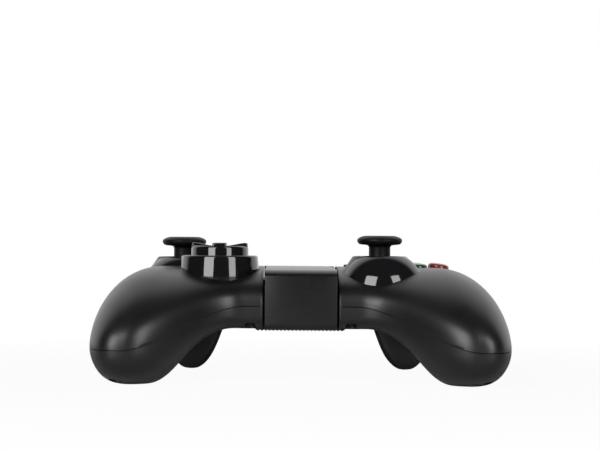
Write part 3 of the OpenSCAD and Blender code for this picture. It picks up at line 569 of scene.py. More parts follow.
# %% Top half
RIB, DEEP, HIGH = 1.8, 30, 60
SLOT_X, NOTCH_Y, TRAY_Z, TRAY_FIT = 14.25, -11.6, 36.4, 0.2          # channel of the clamp
CHANNEL_Y, CHANNEL_LOW, NOSE_WALL = (-20, 41), 34.5, -25.5            # walls along it
BAY_X, BAY_END, BAY_TOP_Y, BAY_LOW_Y = (27.25, 56.45), 33.26, 26, 20  # shoulder bays
BUMPER_X, BUMPER_Y, BUMPER_LOW, BUMPER_WALL = 18.7, 34.1, 33.6, (30, 42)
CRATER_R, ROOM_R = 8.9, 11.9               # hole of a stick, ball-shaped room under it
CROSS_AT, COLLAR_HOLE = (-30.8, -6.5), 15.14
BUTTONS = {"b": (54.8, 19.0), "y": (45.6, 28.2), "x": (36.4, 19.0), "a": (45.6, 9.8)}
MENU_X, START_Y, HOME_Y, MENU_LONG, LIGHT_LONG = 20.6, 13.5, 23.5, 3.6, 4.4
BUTTON_HOLE, MENU_HOLE, HOME_HOLE, LIGHT_HOLE = 4.35, 1.95, 3.25, 1.0

top = half_case(True, 110, 110)
for side in (-1, 1):
    join(top, inner_wall(*span(side, SLOT_X, SLOT_X + RIB), *CHANNEL_Y, True, CHANNEL_LOW))
    join(top, inner_wall(*span(side, SLOT_X, SLOT_X + RIB), NOSE_WALL, NOTCH_Y + RIB, True, SEAM))
    join(top, inner_wall(*span(side, BUMPER_X - RIB, BUMPER_X), *BUMPER_WALL, True))
    join(top, inner_wall(*span(side, BAY_X[1], BAY_X[1] + RIB), BAY_TOP_Y, BAY_END, True))
join(top, slab(-SLOT_X - RIB, SLOT_X + RIB, NOTCH_Y, NOTCH_Y + RIB, SEAM, TRAY_Z - TRAY_FIT))
for cx, cy, _, pivot in STICKS.values():
    cut(top, rod(CRATER_R, (cx, cy), DEEP, HIGH, 96))
    room = [(ROOM_R * math.sin(a), pivot - ROOM_R * math.cos(a)) for a in np.linspace(0, math.pi, 33)]
    cut(top, turned(room, (cx, cy), 64))
cut(top, rod(COLLAR_HOLE, CROSS_AT, DEEP, HIGH, 160))
for place in BUTTONS.values():
    cut(top, rod(BUTTON_HOLE, place, DEEP, HIGH))
for side in (-1, 1):
    cut(top, pill(side * MENU_X, START_Y, MENU_HOLE, MENU_LONG, DEEP, HIGH))
cut(top, rod(HOME_HOLE, (MENU_X, HOME_Y), DEEP, HIGH))
cut(top, pill(-MENU_X, HOME_Y, LIGHT_HOLE, LIGHT_LONG, DEEP, HIGH))
cut(top, slab(-SLOT_X, SLOT_X, -HIGH, HIGH, TRAY_Z - TRAY_FIT, HIGH))
cut(top, slab(-SLOT_X, SLOT_X, -HIGH, NOTCH_Y, 0, HIGH))
for side in (-1, 1):
    cut(top, slab(*span(side, BUMPER_X, BAY_X[1]), BUMPER_Y, HIGH, 0, HIGH))
    cut(top, slab(*span(side, *BAY_X), 33, HIGH, 0, BUMPER_LOW))
top.name = "top_case_skin"
dress(top, shell_abs, "case", "top_shell", sharp=30)
print("top skin:", len(top.data.polygons), "faces")

# %% [markdown]
# ## Bottom half
# Walls and screw posts are added, then the channel, the recess of the ribbed pad, the socket's
# opening, the bays of the triggers and the screw wells are cut. In the grips the wells are slots
# drawn out towards the front, and beside the clamp they open into the front edge, so that they
# show from the player's side as in the photo.

# %% Bottom half
SCREWS = [(18.85, -21.5), (67.35, -39.4), (20.75, 31.5)]
POST_R, WELL_R, SHAFT_R, HEAD_DEPTH = 3.6, 2.7, 1.4, 4
SLOT_RUN, SLOT_SHRINK, SLOT_TOP = (-0.4, -4.2), 0.3, 7      # wells in the grips
SOCKET_X, SOCKET_Y, SOCKET_Z = 5, 36.2, (22.8, 26.6)        # opening of the charging socket
MOUTH_R, MOUTH_RUN, MOUTH_TOP = 2.1, 3.2, 22.3              # wells beside the clamp
MAT_X, MAT_Y, MAT_FIT, MAT_SINK = 17, (-9, 22), 0.2, 0.8    # ribbed pad

bottom = half_case(False, 80, 70)
for side in (-1, 1):
    join(bottom, inner_wall(*span(side, SLOT_X, SLOT_X + RIB), NOSE_WALL, NOTCH_Y + RIB, False, SEAM))
    join(bottom, inner_wall(*span(side, BAY_X[0] - RIB, BAY_X[0]), 28, 42, False))
    join(bottom, inner_wall(*span(side, BAY_X[1], BAY_X[1] + RIB), BAY_LOW_Y, BAY_END, False))
    for x, y in SCREWS:
        rim = [(side * x + POST_R * math.cos(t), y + POST_R * math.sin(t)) for t in whole_turn(8)]
        foot = max(low_at(p, q, 0.8) for p, q in rim)
        join(bottom, rod(POST_R, (side * x, y), foot, float(seam(x, y))))
join(bottom, slab(-SLOT_X - RIB, SLOT_X + RIB, NOTCH_Y, NOTCH_Y + RIB, BELLY + 1, SEAM))
cut(bottom, slab(-SLOT_X, SLOT_X, -HIGH, NOTCH_Y, 0, HIGH))
cut(bottom, slab(-MAT_X - MAT_FIT, MAT_X + MAT_FIT, MAT_Y[0] - MAT_FIT, MAT_Y[1] + MAT_FIT, 0,
                 BELLY + MAT_SINK))
cut(bottom, slab(-SOCKET_X, SOCKET_X, SOCKET_Y, HIGH, *SOCKET_Z))
for side in (-1, 1):
    cut(bottom, slab(*span(side, *BAY_X), 30.5, HIGH, 0, HIGH))
    for x, y in SCREWS:
        cut(bottom, rod(WELL_R, (side * x, y), -1, float(seam(x, y)) - HEAD_DEPTH))
        if x > TIP_X:
            for t in (0.25, 0.5, 0.75, 1):
                place = side * (x + SLOT_RUN[0] * t), y + SLOT_RUN[1] * t
                cut(bottom, rod(WELL_R - SLOT_SHRINK * t, place, -1, SLOT_TOP))
        elif y < 0:
            cut(bottom, rod(MOUTH_R, (side * x, y - MOUTH_RUN), -1, MOUTH_TOP))
        cut(bottom, rod(SHAFT_R, (side * x, y), -1, float(seam(x, y)) + 1))
bottom.name = "bottom_case_skin"
dress(bottom, belly_abs, "case", "bottom_shell", sharp=30)
print("bottom skin:", len(bottom.data.polygons), "faces")

# %% [markdown]
# ## Channel edges
# The clamp's channel cuts the front of the case in two. Its edges are rounded, and a fine light
# line runs down them. Each is a thin tube sunk into the cut edge, from the top round the nose to
# the belly.

# %% Channel edges
LIP_R, LIP_IN, LIP_SIDES, LIP_END = 0.5, 0.42, 12, -9
for side, sign in (("left", -1), ("right", 1)):
    x = SLOT_X + LIP_IN
    run = np.cos(np.linspace(0.62 * math.pi, math.pi, 40))
    front, back = float(edge_front(x, LIP_IN)), float(edge_back(x, LIP_IN))
    ys = (front + back) / 2 + run * (back - front) / 2
    upper = [(y, float(top_z(x, y, u, LIP_IN))) for y, u in zip(ys, run) if y < LIP_END]
    lower = [(y, float(low_z(x, y, u, LIP_IN))) for y, u in zip(ys, run) if y < LIP_END - 1]
    path = np.array(upper + lower[-2::-1])
    along = np.gradient(path, axis=0)
    along /= np.linalg.norm(along, axis=1)[:, None]
    points = [(sign * (x + LIP_R * math.cos(t)), y - LIP_R * math.sin(t) * dz, z + LIP_R * math.sin(t) * dy)
              for (y, z), (dy, dz) in zip(path, along) for t in whole_turn(LIP_SIDES)]
    faces = tube_faces(len(path), LIP_SIDES) + end_faces(len(path), LIP_SIDES)
    piece(f"{side}_channel_edge", points, faces, shell_abs, "case", sharp=60)
print("channel edges:", len(path), "sections each")

# %% [markdown]
# ## Stick caps
# A thumb cap is one rubber moulding: a dished disc with a round rim, a straight post, and a dome
# that closes the cone from below. It is a turned form, so its profile is spun about the stick.

# %% Stick caps
HEAD, CAP_R, POST, DOME_R, DOME_IN = 18.7, 8.6, 4.1, 11.5, 10.6


def stick_cap(side):
    cx, cy, _, pivot = STICKS[side]
    head = pivot + HEAD
    corners = [(0, -0.5, 0), (3.2, -0.4, 1), (5.0, 0, 1), (6.4, -0.2, 0.6), (7.6, -0.65, 0.6),
               (CAP_R, -1.35, 0.7), (CAP_R, -2.3, 0.7), (7.8, -3.35, 0.6), (4.7, -3.65, 0.4),
               (POST, -4.2, 0.4), (POST, -7.6, 0.2), (4.15, -8.0, 0)]  # radius, height, rounding
    rim = eased([(r, head + h) for r, h, _ in corners], [rounding for _, _, rounding in corners], 5)
    arc = lambda r, start, end, n: [(r * math.sin(a), pivot + r * math.cos(a))
                                    for a in np.radians(np.linspace(start, end, n))]
    socket = [(r, pivot + h) for r, h in ((2.8, 9.9), (2.8, 6.2), (1.6, 6.2), (1.6, 12.6), (0, 12.6))]
    profile = list(map(tuple, rim)) + arc(DOME_R, 21.6, 68, 16) + arc(DOME_IN, 68, 18, 12) + socket
    points, faces = turned(profile, (cx, cy))
    piece(f"{side}_thumb_cap", points, faces, rubber, f"{side}_stick", f"{side}_stick_cap", sharp=50)


for side in STICKS:
    stick_cap(side)
print("thumb caps:", len(STICKS))

# %% [markdown]
# ## Glossy eyes
# In front of each stick the cone carries a polished lens, the lower front of a ball that stands a
# little proud of the cone. Where the ball meets the cone it draws the almond outline by itself.
# The left stick lies further back, so its lens ends higher, above the case's skin.

# %% Glossy eyes
LENS_R, LENS_IN, LENS_WIDE = 15.5, 13.9, 1.08
LENS_AT = (0, -2.5, -13.4)  # middle of the ball, from the middle of the cone's upper edge


def stick_eye(side, lowest, shift=(0, 0, 0)):
    centre = np.array(STICKS[side][:3]) + LENS_AT + shift
    lon = np.radians(np.linspace(-72, 72, 73))
    lat = np.radians(np.linspace(lowest, 58, 41))

    def sheet(r):
        return [centre + r * np.array([LENS_WIDE * math.cos(b) * math.sin(a), -math.cos(b) * math.cos(a),
                                       math.sin(b)]) for b in lat for a in lon]

    a, b = np.arange(2 * len(lat) * len(lon)).reshape(2, len(lat), len(lon))
    faces = quads(a[:-1, :-1], a[:-1, 1:], a[1:, 1:], a[1:, :-1])
    faces += quads(b[:-1, :-1], b[1:, :-1], b[1:, 1:], b[:-1, 1:])
    for edge in (0, -1):
        faces += quads(a[edge, :-1], a[edge, 1:], b[edge, 1:], b[edge, :-1])
        faces += quads(a[:-1, edge], a[1:, edge], b[1:, edge], b[:-1, edge])
    piece(f"{side}_cone_lens", sheet(LENS_R) + sheet(LENS_IN), faces, piano_abs, "case", f"{side}_stick_eye")


stick_eye("right", -2, (1.0, 0, 0.4))
stick_eye("left", 26)
print("lenses:", len(STICKS))

# %% [markdown]
# ## Crater rims
# The cone's upper edge is a narrow rounded lip round the hole that the stick passes through.

# %% Crater rims
for side, (cx, cy, edge, _) in STICKS.items():
    lip = eased([(CRATER_R, edge - 2.4), (CRATER_R, edge), (CONE_R, edge), (CONE_R + 1.2, edge - 1.8),
                 (CONE_R + 0.6, edge - 2.4)], [0, 0.5, 0.5, 0, 0], 5, closed=True)
    piece(f"{side}_crater_lip", *turned_ring(lip, (cx, cy), 128), shell_abs, "case", sharp=60)
print("crater lips:", len(STICKS))

# %% [markdown]
# ## Cross pad and collar
# The collar is a polished ring with a soft edge; the pad inside is a dished disc with a raised
# cross whose four arms climb towards the rim, so that a thumb finds each direction. Four feet
# under the disc press on the membrane.

# %% Cross pad and collar
COLLAR_TOP, COLLAR_R, COLLAR_BEND, FLANGE_Z = 47.1, 15.1, 40.6, 34.0
CROSS_R, ARM_HALF, FOOT_R, FOOT_AT = 10.9, 2.6, 1.5, 9
outline = eased([(13.4, 32.8), (16.2, 32.8), (16.2, FLANGE_Z), (COLLAR_R, FLANGE_Z), (COLLAR_R, COLLAR_BEND),
                 (14.45, COLLAR_TOP), (11.5, COLLAR_TOP), (11.5, 42.2), (13.4, 42.2)],
                [0, 0, 0, 0, 1.5, 0.9, 0.7, 0, 0], 7, closed=True)
ring = piece("cross_pad_collar", *turned_ring(outline, CROSS_AT, 160), piano_abs, None, sharp=45)
cut(ring, slab(-16.35, 0, -HIGH, HIGH, DEEP, FLANGE_Z))
dress(ring, piano_abs, "case", "dpad_collar", sharp=45)

dish = eased([(0, 49.6), (7.4, 50.0), (10.2, 50.75), (CROSS_R, 50.1), (CROSS_R, 40.7), (12.6, 40.3),
              (12.6, 39.0), (4.6, 39.6), (4.6, 45.6), (0, 45.6)], [0, 2, 0.5, 0.5, 0, 0, 0, 0, 0, 0], 6)
climb = eased([(0, 48.6), (10.6, 48.6), (10.6, 51.85), (8.6, 51.75), (3.2, 50.7), (0, 50.55)],
              [0, 0, 0.8, 1.2, 1.5, 0], 5, closed=True)
bars, feet = [], []
for c, s in ((1, 0), (0, 1), (-1, 0), (0, -1)):
    bars.append(prism(*([(CROSS_AT[0] + c * x - s * y, CROSS_AT[1] + s * x + c * y, z) for x, z in climb]
                        for y in (-ARM_HALF, ARM_HALF))))
    feet.append(rod(FOOT_R, (CROSS_AT[0] + FOOT_AT * c, CROSS_AT[1] + FOOT_AT * s), 32.2, 40.2, 24))
arms = piece("cross_pad_arms", *joined(bars), piano_abs, None)
broken_edges(arms, 0.45)
dress(arms, piano_abs, "cross_pad", sharp=40)
disc = joined([turned(dish, CROSS_AT, 128)] + feet)
piece("cross_pad_disc", *disc, piano_abs, "cross_pad", "dpad", sharp=45)
print("cross pad:", len(bars), "arms,", len(feet), "feet")

# %% [markdown]
# ## Face buttons and small keys
# Each face button is a turned dome of coloured, polished ABS with a soft shoulder; the outermost
# one leans with the case. The two menu keys are pills and the home key is round.

# %% Face buttons and small keys
LEAN, LEAN_FROM, KEY_FOOT, KEY_TOP, FLANGE = 0.12, 40, 32.8, 43.4, (38.4, 39.4)
profile = eased([(0, 32.2), (2, 32.2), (2, 36.6), (4.8, 36.6), (4.8, 37.6), (4.1, 37.8), (4.1, 43.05),
                 (3.75, 43.65), (2.9, 43.98), (1.7, 44.15), (0, 44.2)],
                [0, 0, 0, 0, 0, 0, 0.3, 0.3, 0.5, 0.6, 0], 5)
for name, place in BUTTONS.items():
    points, faces = turned(profile, place, 64)
    if name == "b":
        points = [(x, y, z - LEAN * (x - place[0]) * (z > LEAN_FROM)) for x, y, z in points]
    piece(f"dome_{name}", points, faces, button_tint[name], f"key_{name}", f"button_{name}", sharp=50)
for name, x in (("select", -MENU_X), ("start", MENU_X)):
    stem = piece(f"{name}_key", *pill(x, START_Y, 1.7, MENU_LONG, KEY_FOOT, KEY_TOP), key_abs, None)
    join(stem, pill(x, START_Y, 2.3, MENU_LONG, *FLANGE))
    broken_edges(stem, 0.35)
    dress(stem, key_abs, f"key_{name}", f"{name}_button", sharp=45)
profile = eased([(0, KEY_FOOT), (2.0, KEY_FOOT), (2.4, FLANGE[0]), (3.7, FLANGE[0]), (3.7, FLANGE[1]),
                 (3.0, FLANGE[1]), (3.0, 43.3), (0, KEY_TOP)], [0, 0, 0, 0, 0, 0, 0.5, 0], 6)
piece("home_key", *turned(profile, (MENU_X, HOME_Y), 64), key_abs, "key_home", "home_button", sharp=50)
print("face buttons:", len(BUTTONS), "keys: 3")

# %% [markdown]
# ## Bumpers
# A bumper carries the case's own skin on across its cut-out, a hair proud of it, and has a lug
# that turns on the pin behind it.

# %% Bumpers
PROUD, BUMPER_FRONT, BUMPER_RUN, LUG_X = 0.4, 34.4, (19, 55.75), (32.75, 38.75)


def bumper(side):
    sign = 1 if side == "right" else -1
    rows, cols, d = 41, 30, -PROUD
    points = []
    for x in np.linspace(*BUMPER_RUN, rows):
        u0, level = across(x, BUMPER_FRONT, d), seam(x, BUMPER_FRONT)
        u1 = bulge((BUMPER_LOW - level) / (crest(x, d) - level), TOP_POWERS[1])
        u = np.cos(np.linspace(math.acos(u0), math.acos(u1), cols))
        front, back = edge_front(x, d), edge_back(x, d)
        y = (front + back) / 2 + u * (back - front) / 2
        z = top_z(np.full(cols, x), y, u, d)
        z[-1] = BUMPER_LOW
        points += [(sign * x, BUMPER_FRONT, BUMPER_LOW)] + [(sign * x, py, pz) for py, pz in zip(y, z)]
    faces = tube_faces(rows, cols + 1) + end_faces(rows, cols + 1)
    skin = piece(f"{side}_bumper_skin", points, faces, key_abs, None)
    broken_edges(skin, 0.4, 3, 50)
    lug = [(32.6, 34.6), (36, 34.6), (36, 38.2), (32.6, 38.2), (31, 37.4), (30.9, 35.6)]
    join(skin, carried(lug, *span(sign, *LUG_X)))
    dress(skin, key_abs, f"{side}_shoulder", f"{side}_bumper", sharp=40)


print("bumper width:", BUMPER_RUN[1] - BUMPER_RUN[0], "mm")

# %% [markdown]
# ## Triggers
# A trigger is a stack of rounded sections from the lip upwards. Each takes its depth from the side
# outline, a curved finger plate, and its width from the front one. A hub with a bore is added on
# top and a gap for the spring is cut. Then bumper and trigger of each side are made.

# %% Triggers
PULL_X, LIP_X, LIP_Z, PULL_TOP = (29.75, 53.75), 43.15, 0.3, 32.45
HUB_R, BORE_R, HUB_Y, HUB_Z, SPRING_HALF = 2.8, 1.56, 35.2, 29.3, 5
SQUARE, SECTION = 0.38, 48  # how square a section is, and its points


def trigger(side):
    sign = 1 if side == "right" else -1
    x0, x1 = PULL_X
    back = np.concatenate([bezier((42.1, 0.44), (44.6, 0.6), (47.4, 1.2), (49, 1.5), 8),
                           bezier((50.6, 1.8), (52.2, 2.2), (53, 3), (53, 4), 8),
                           bezier((52.7, 4.8), (46.2, 9), (46.6, 22), (45.4, 29), 30),
                           bezier((45.3, 29.4), (44.8, 31.4), (42.6, 32.4), (40, PULL_TOP), 10)])
    front = np.concatenate([bezier((41.8, 0.44), (41, 0.45), (40, 0.6), (39.2, 0.8), 6),
                            bezier((39.1, 0.9), (37.4, 4), (38.6, 12), (38.8, 19), 20),
                            bezier((38.8, 21), (38.6, 25), (38.2, 27), (HUB_Y, 27), 10), [(HUB_Y, PULL_TOP)]])
    near = np.concatenate([bezier((LIP_X, LIP_Z), (x0 + 6, LIP_Z), (x0 + 3.2, 10.5), (x0, 19), 30),
                           [(x0, 40)]])
    far = np.concatenate([bezier((LIP_X + 0.2, LIP_Z), (x1 - 4, LIP_Z), (x1, 7), (x1, 19), 30),
                          [(x1, 40)]])
    heights = np.concatenate([0.32 + 5 * np.linspace(0, 1, 26) ** 2, np.linspace(5.9, 28, 34),
                              np.linspace(28.4, 32.4, 14)])
    points = []
    for z in heights:
        y0, y1, a, b = (np.interp(z, path[:, 1], path[:, 0]) for path in (front, back, near, far))
        for t in whole_turn(SECTION):
            wide, thick = (math.copysign(abs(v) ** SQUARE, v) for v in (math.cos(t), math.sin(t)))
            x, y = (a + b) / 2 + (b - a) / 2 * wide, (y0 + y1) / 2 + (y1 - y0) / 2 * thick
            points.append((sign * x, y, z))
    faces = tube_faces(len(heights), SECTION) + end_faces(len(heights), SECTION)
    plate = piece(f"{side}_trigger_plate", points, faces, trigger_abs_painted_lighter, None)
    join(plate, round_bar(HUB_R, HUB_Y, HUB_Z, *span(sign, x0, x1)))
    cut(plate, round_bar(BORE_R, HUB_Y, HUB_Z, *span(sign, x0 - 4, x1 + 4)))
    mid = (x0 + x1) / 2
    cut(plate, slab(*span(sign, mid - SPRING_HALF, mid + SPRING_HALF), 20, 38.8, 24, 40))
    dress(plate, trigger_abs_painted_lighter, f"{side}_pull", f"{side}_trigger", sharp=50)


for side in ("left", "right"):
    bumper(side)
    trigger(side)
print("bumpers and triggers: 2 each")

# %% [markdown]
# ## Phone clamp
# The block between the grips is the clamp's jaw with a cover over it; a dark line shows where
# they meet. The arm lies behind in its channel, with the hinge's barrel at its rear end, and the
# jaw's tongue slides in it. Plain plates, so each is an outline carried across the width, with
# broken edges.

# %% Phone clamp
CLAMP_X, COVER_Z, ARM_TOP, JAW_FRONT, JAW_BACK, JAW_LOW, JAW_TOP = 13.45, 40.3, 42.2, -28, -13.6, 19.7, 40.0
TONGUE_X, SLEEVE_X, HINGE_X, HINGE_Y, HINGE_Z, BARREL_R, PIN_R = 8.7, 8.9, 11.45, 39.3, 40.2, 2, 1.16
shape = eased([(JAW_BACK, JAW_LOW), (JAW_FRONT, JAW_LOW), (JAW_FRONT, JAW_TOP), (JAW_BACK, JAW_TOP)],
              [0, 2.4, 0.35, 0], 8, closed=True)
jaw = piece("clamp_block", *carried(shape, -CLAMP_X, CLAMP_X), clamp_abs, None)
broken_edges(jaw, 0.45, 3, 50)
cut(jaw, slab(-11.4, 11.4, JAW_FRONT + 2.2, JAW_BACK + 0.5, 21.9, 37.8))
join(jaw, slab(-TONGUE_X, TONGUE_X, JAW_BACK - 0.4, 25, 39.1, 40.9))
dress(jaw, clamp_abs, "clamp_jaw", "clamp_jaw", sharp=40)

back = JAW_BACK - 0.6
slope = bezier((JAW_FRONT, COVER_Z + 0.1), (JAW_FRONT + 1, COVER_Z + 1), (JAW_FRONT + 2.6, ARM_TOP - 0.15),
               (JAW_FRONT + 6, ARM_TOP), 14)
shape = [(back, COVER_Z)] + list(map(tuple, slope)) + [(back, ARM_TOP)]
cover = piece("clamp_lid", *carried(shape, -CLAMP_X, CLAMP_X), clamp_abs, None)
broken_edges(cover, 0.3, 3, 60)
join(cover, slab(-CLAMP_X + 0.8, CLAMP_X - 0.8, JAW_FRONT + 0.8, back - 0.4, JAW_TOP, 40.5))
dress(cover, clamp_abs, "clamp_jaw", "clamp_cover", sharp=40)

arm = piece("clamp_sleeve", *slab(-CLAMP_X, CLAMP_X, -13.3, 35.4, 38.05, ARM_TOP), clamp_abs, None)
broken_edges(arm, 0.7, 4)
join(arm, slab(-HINGE_X, HINGE_X, 35, HINGE_Y, 38.6, 41.8))
join(arm, round_bar(BARREL_R, HINGE_Y, HINGE_Z, -HINGE_X, HINGE_X))
cut(arm, round_bar(PIN_R, HINGE_Y, HINGE_Z, -20, 20, 32))
cut(arm, slab(-SLEEVE_X, SLEEVE_X, -20, 27, 38.95, 41.1))
dress(arm, clamp_abs, "clamp_arm", "clamp_arm", sharp=40)

grip = piece("clamp_rubber", *slab(-11.2, 11.2, JAW_BACK - 1.6, JAW_BACK + 1.4, 22.1, 37.6), rubber, None)
broken_edges(grip, 0.6)
dress(grip, rubber, "clamp_jaw", "clamp_pad", sharp=40)
print("clamp:", [made.name for made in (jaw, cover, arm, grip)])

# %% [markdown]
# ## Ribbed pad
# Under the belly lies a rubber pad with ribs for the fingertips. The ribs repeat at one pitch, so
# geometry nodes place one rib on each point of a line, and the result is turned into a plain mesh.

# %% Ribbed pad
RIBS = 23
RIB_SIZES = {"Pitch": 1.45, "Radius": 0.45, "Length": 29.8, "Level": BELLY - 0.55, "Middle": 6.5}
ribs = bpy.data.node_groups.new("finger ribs", "GeometryNodeTree")
ribs.interface.new_socket(name="Geometry", in_out="OUTPUT", socket_type="NodeSocketGeometry")
sizes = {}
for name, value in RIB_SIZES.items():
    sizes[name] = ribs.interface.new_socket(name=name, in_out="INPUT", socket_type="NodeSocketFloat")
    sizes[name].default_value = value * MM
given = add(ribs, "NodeGroupInput").outputs
step = add(ribs, "ShaderNodeCombineXYZ", X=given["Pitch"])
first = calc(ribs, "MULTIPLY", given["Pitch"], -(RIBS - 1) / 2)
start = add(ribs, "ShaderNodeCombineXYZ", X=first, Y=given["Middle"], Z=given["Level"])
line = add(ribs, "GeometryNodeMeshLine", {"mode": "OFFSET"}, Count=RIBS,
           Start_Location=start.outputs[0], Offset=step.outputs[0])
rib = add(ribs, "GeometryNodeMeshCylinder", {"fill_type": "NGON"}, Vertices=16,
          Radius=given["Radius"], Depth=given["Length"])
lying = add(ribs, "GeometryNodeTransform", Geometry=rib.outputs["Mesh"], Rotation=(math.pi / 2, 0, 0))
row = add(ribs, "GeometryNodeInstanceOnPoints", Points=line.outputs[0], Instance=lying.outputs[0])
real = add(ribs, "GeometryNodeRealizeInstances", Geometry=row.outputs[0])
inked = add(ribs, "GeometryNodeSetMaterial", Geometry=real.outputs[0], Material=rubber)
add(ribs, "NodeGroupOutput", Geometry=inked.outputs[0])
host = solid("finger_ribs", [], [])
use = host.modifiers.new("ribs", "NODES")
use.node_group = ribs
for name, socket in sizes.items():
    use[socket.identifier] = socket.default_value
dress(baked(host), rubber, "case", sharp=40)
base = piece("finger_pad", *slab(-MAT_X, MAT_X, *MAT_Y, BELLY - 0.65, BELLY + MAT_SINK), rubber, None)
broken_edges(base, 0.3, 2)
dress(base, rubber, "case", "grip_pad", sharp=40)
print("ribs:", RIBS, "with", len(host.data.polygons), "faces")

# %% [markdown]
# ## Finishes of the inner pieces
# The pieces inside keep their CAD shape: board, battery, stick mechanism, pins and brackets. Each
# gets the finish of what it is made of.

# %% Finishes of the inner pieces
inner = {
    "case_screws": dark_steel, "status_light": light_pipe, "menu_switches": tin_plate, "main_board": board,
    "battery": foil, "usb_socket": tin_plate, "dpad_post": bracket_abs, "dpad_gimbal": tin_plate,
    "dpad_membrane": membrane, "button_membrane": membrane, "trigger_pins": drawn_steel,
    "bumper_pins": drawn_steel, "trigger_springs": drawn_steel, "clamp_tray": bracket_abs,
    "clamp_pin": drawn_steel,
}
stick_parts = {"frame": tin_plate, "sensors": sensor_blue, "yoke": acetal, "rocker": acetal, "sleeve": acetal,
               "shaft": drawn_steel}
for side in ("left", "right"):
    inner.update({f"{side}_stick_{part}": finish for part, finish in stick_parts.items()})
    inner[f"{side}_bracket"] = bracket_abs
for name, finish in inner.items():
    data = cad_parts[name].data
    data.materials.clear()
    data.materials.append(finish)
print("inner pieces:", len(inner))

# %% [markdown]
# ## Table
# Table and backdrop are one sweep of white card. To the camera it glows at full white, a little
# less near the pad, where its matt share keeps the pad's shadow. In reflections only the part
# behind the pad glows, as a lit backdrop does, so that the black plastic stays black in front.

# %% Table
FADE, NEAR_GLOW = (0.12, 0.28), 0.95  # metres from the pad's middle; the glow there
BACKDROP = (0.1, 0.6)                 # metres behind it where the glow in reflections sets in
CARD_X, CARD_FRONT, CARD_BACK, CARD_BEND, CARD_HIGH = 2000, -1500, 900, 300, 1500


def mirrored_ray(tree, ray):
    return calc(tree, "MAXIMUM", ray["Is Glossy Ray"], ray["Is Transmission Ray"])


card, tree, place = bare("white_card")
ray = add(tree, "ShaderNodeLightPath").outputs
fibre = add(tree, "ShaderNodeTexNoise", Vector=place, Scale=400.0).outputs["Fac"]
matt = add(tree, "ShaderNodeBsdfDiffuse", Color=two_tone(tree, fibre, "#d6d6d6", "#dedede"))
glow = add(tree, "ShaderNodeEmission", Color=(1, 1, 1, 1), Strength=1.0)
reach = add(tree, "ShaderNodeVectorMath", {"operation": "LENGTH"}, Vector=place).outputs["Value"]
seen = add(tree, "ShaderNodeMapRange", Value=reach, From_Min=FADE[0], From_Max=FADE[1], To_Min=NEAR_GLOW,
           To_Max=1.0).outputs["Result"]
behind = add(tree, "ShaderNodeMapRange", Value=add(tree, "ShaderNodeSeparateXYZ", Vector=place).outputs["Y"],
             From_Min=BACKDROP[0], From_Max=BACKDROP[1]).outputs["Result"]
in_gloss = calc(tree, "MULTIPLY", mirrored_ray(tree, ray), behind)
share = calc(tree, "MULTIPLY_ADD", ray["Is Camera Ray"], seen, in_gloss)
add(tree, "ShaderNodeOutputMaterial", Surface=mixed(tree, share, matt, glow))
bend = [(CARD_BACK + CARD_BEND * math.sin(t), CARD_BEND - CARD_BEND * math.cos(t))
        for t in np.linspace(0.05, math.pi / 2, 16)]
sweep = [(CARD_FRONT, 0), (CARD_BACK, 0)] + bend + [(CARD_BACK + CARD_BEND, CARD_HIGH)]
n = len(sweep)
floor = solid("card_sweep", [(x, y, z) for x in (-CARD_X, CARD_X) for y, z in sweep],
              [(k, k + 1, n + k + 1, n + k) for k in range(n - 1)])
floor.data.materials.append(card)
floor.data.shade_smooth()
print("card sweep:", n - 1, "strips")

# %% [markdown]
# ## Light
# Two tall softboxes stand in front of the pad, left and right of the camera: they draw the pairs
# of light patches on the grips, the collar and the lenses. The room round them is dark, except
# that reflections see a white wall behind the pad.

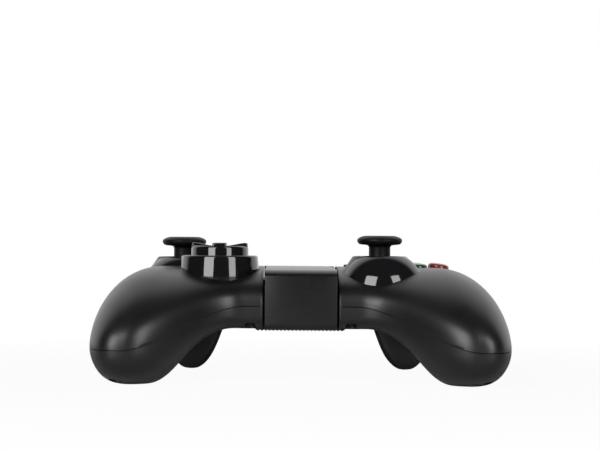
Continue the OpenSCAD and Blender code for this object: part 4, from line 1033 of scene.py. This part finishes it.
# %% Light
ROOM, WALL_LIGHT, WALL_FROM = 0.04, 0.94, (0.18, 0.5)
AIM = (0, -20, 25)
world = bpy.data.worlds.new("studio")
scene.world = world
world.use_nodes = True
tree = world.node_tree
tree.nodes.clear()
ray = add(tree, "ShaderNodeLightPath").outputs
way = add(tree, "ShaderNodeSeparateXYZ", Vector=add(tree, "ShaderNodeTexCoord").outputs["Generated"])
wall = add(tree, "ShaderNodeMapRange", {"interpolation_type": "SMOOTHSTEP"}, Value=way.outputs["Y"],
           From_Min=WALL_FROM[0], From_Max=WALL_FROM[1], To_Max=WALL_LIGHT).outputs["Result"]
level = calc(tree, "MULTIPLY_ADD", mirrored_ray(tree, ray), wall, ROOM)
room = add(tree, "ShaderNodeBackground", Color=(1, 1, 1, 1), Strength=level)
white = add(tree, "ShaderNodeBackground", Color=(1, 1, 1, 1), Strength=1.0)
add(tree, "ShaderNodeOutputWorld", Surface=mixed(tree, ray["Is Camera Ray"], room, white))


def softbox(name, place, size, power):
    lamp = bpy.data.lights.new(name, "AREA")
    lamp.shape = "RECTANGLE"
    lamp.size, lamp.size_y = (s * MM for s in size)
    lamp.energy = power
    made = bpy.data.objects.new(name, lamp)
    scene.collection.objects.link(made)
    made.location = Vector(place) * MM
    made.rotation_euler = (Vector(AIM) - Vector(place)).to_track_quat("-Z", "Y").to_euler()


softbox("left softbox", (-639, -1022, 487), (648, 1000), 13)
softbox("right softbox", (733, -957, 487), (458, 1000), 8)
print("softboxes:", len(bpy.data.lights))

# %% [markdown]
# ## Camera
# The pad was photographed level, from just above cap height, with a long lens. The camera stands
# a little left of the middle and looks at the clamp's block; the picture leans by half a degree.

# %% Camera
EYE, LENS, SENSOR, ROLL = (-9.8, -740, 58.8), 115.4, 36, 0.5
ASIDE_PX, FOCAL_PX = 1.7, 1923  # the block stands this far right of the picture's middle
view = bpy.data.cameras.new("photo camera")
view.sensor_width = SENSOR
view.lens = LENS
view.clip_end = 20
camera = bpy.data.objects.new("photo camera", view)
scene.collection.objects.link(camera)
camera.location = Vector(EYE) * MM
yaw = math.atan2(-EYE[0], JAW_FRONT - EYE[1]) - ASIDE_PX / FOCAL_PX
camera.rotation_euler = (math.pi / 2, 0, -yaw)
camera.rotation_euler.rotate_axis("Z", math.radians(ROLL))
scene.camera = camera
scene.view_settings.view_transform = "Standard"
print("camera at", EYE, "mm, yaw", round(math.degrees(yaw), 3), "degrees")
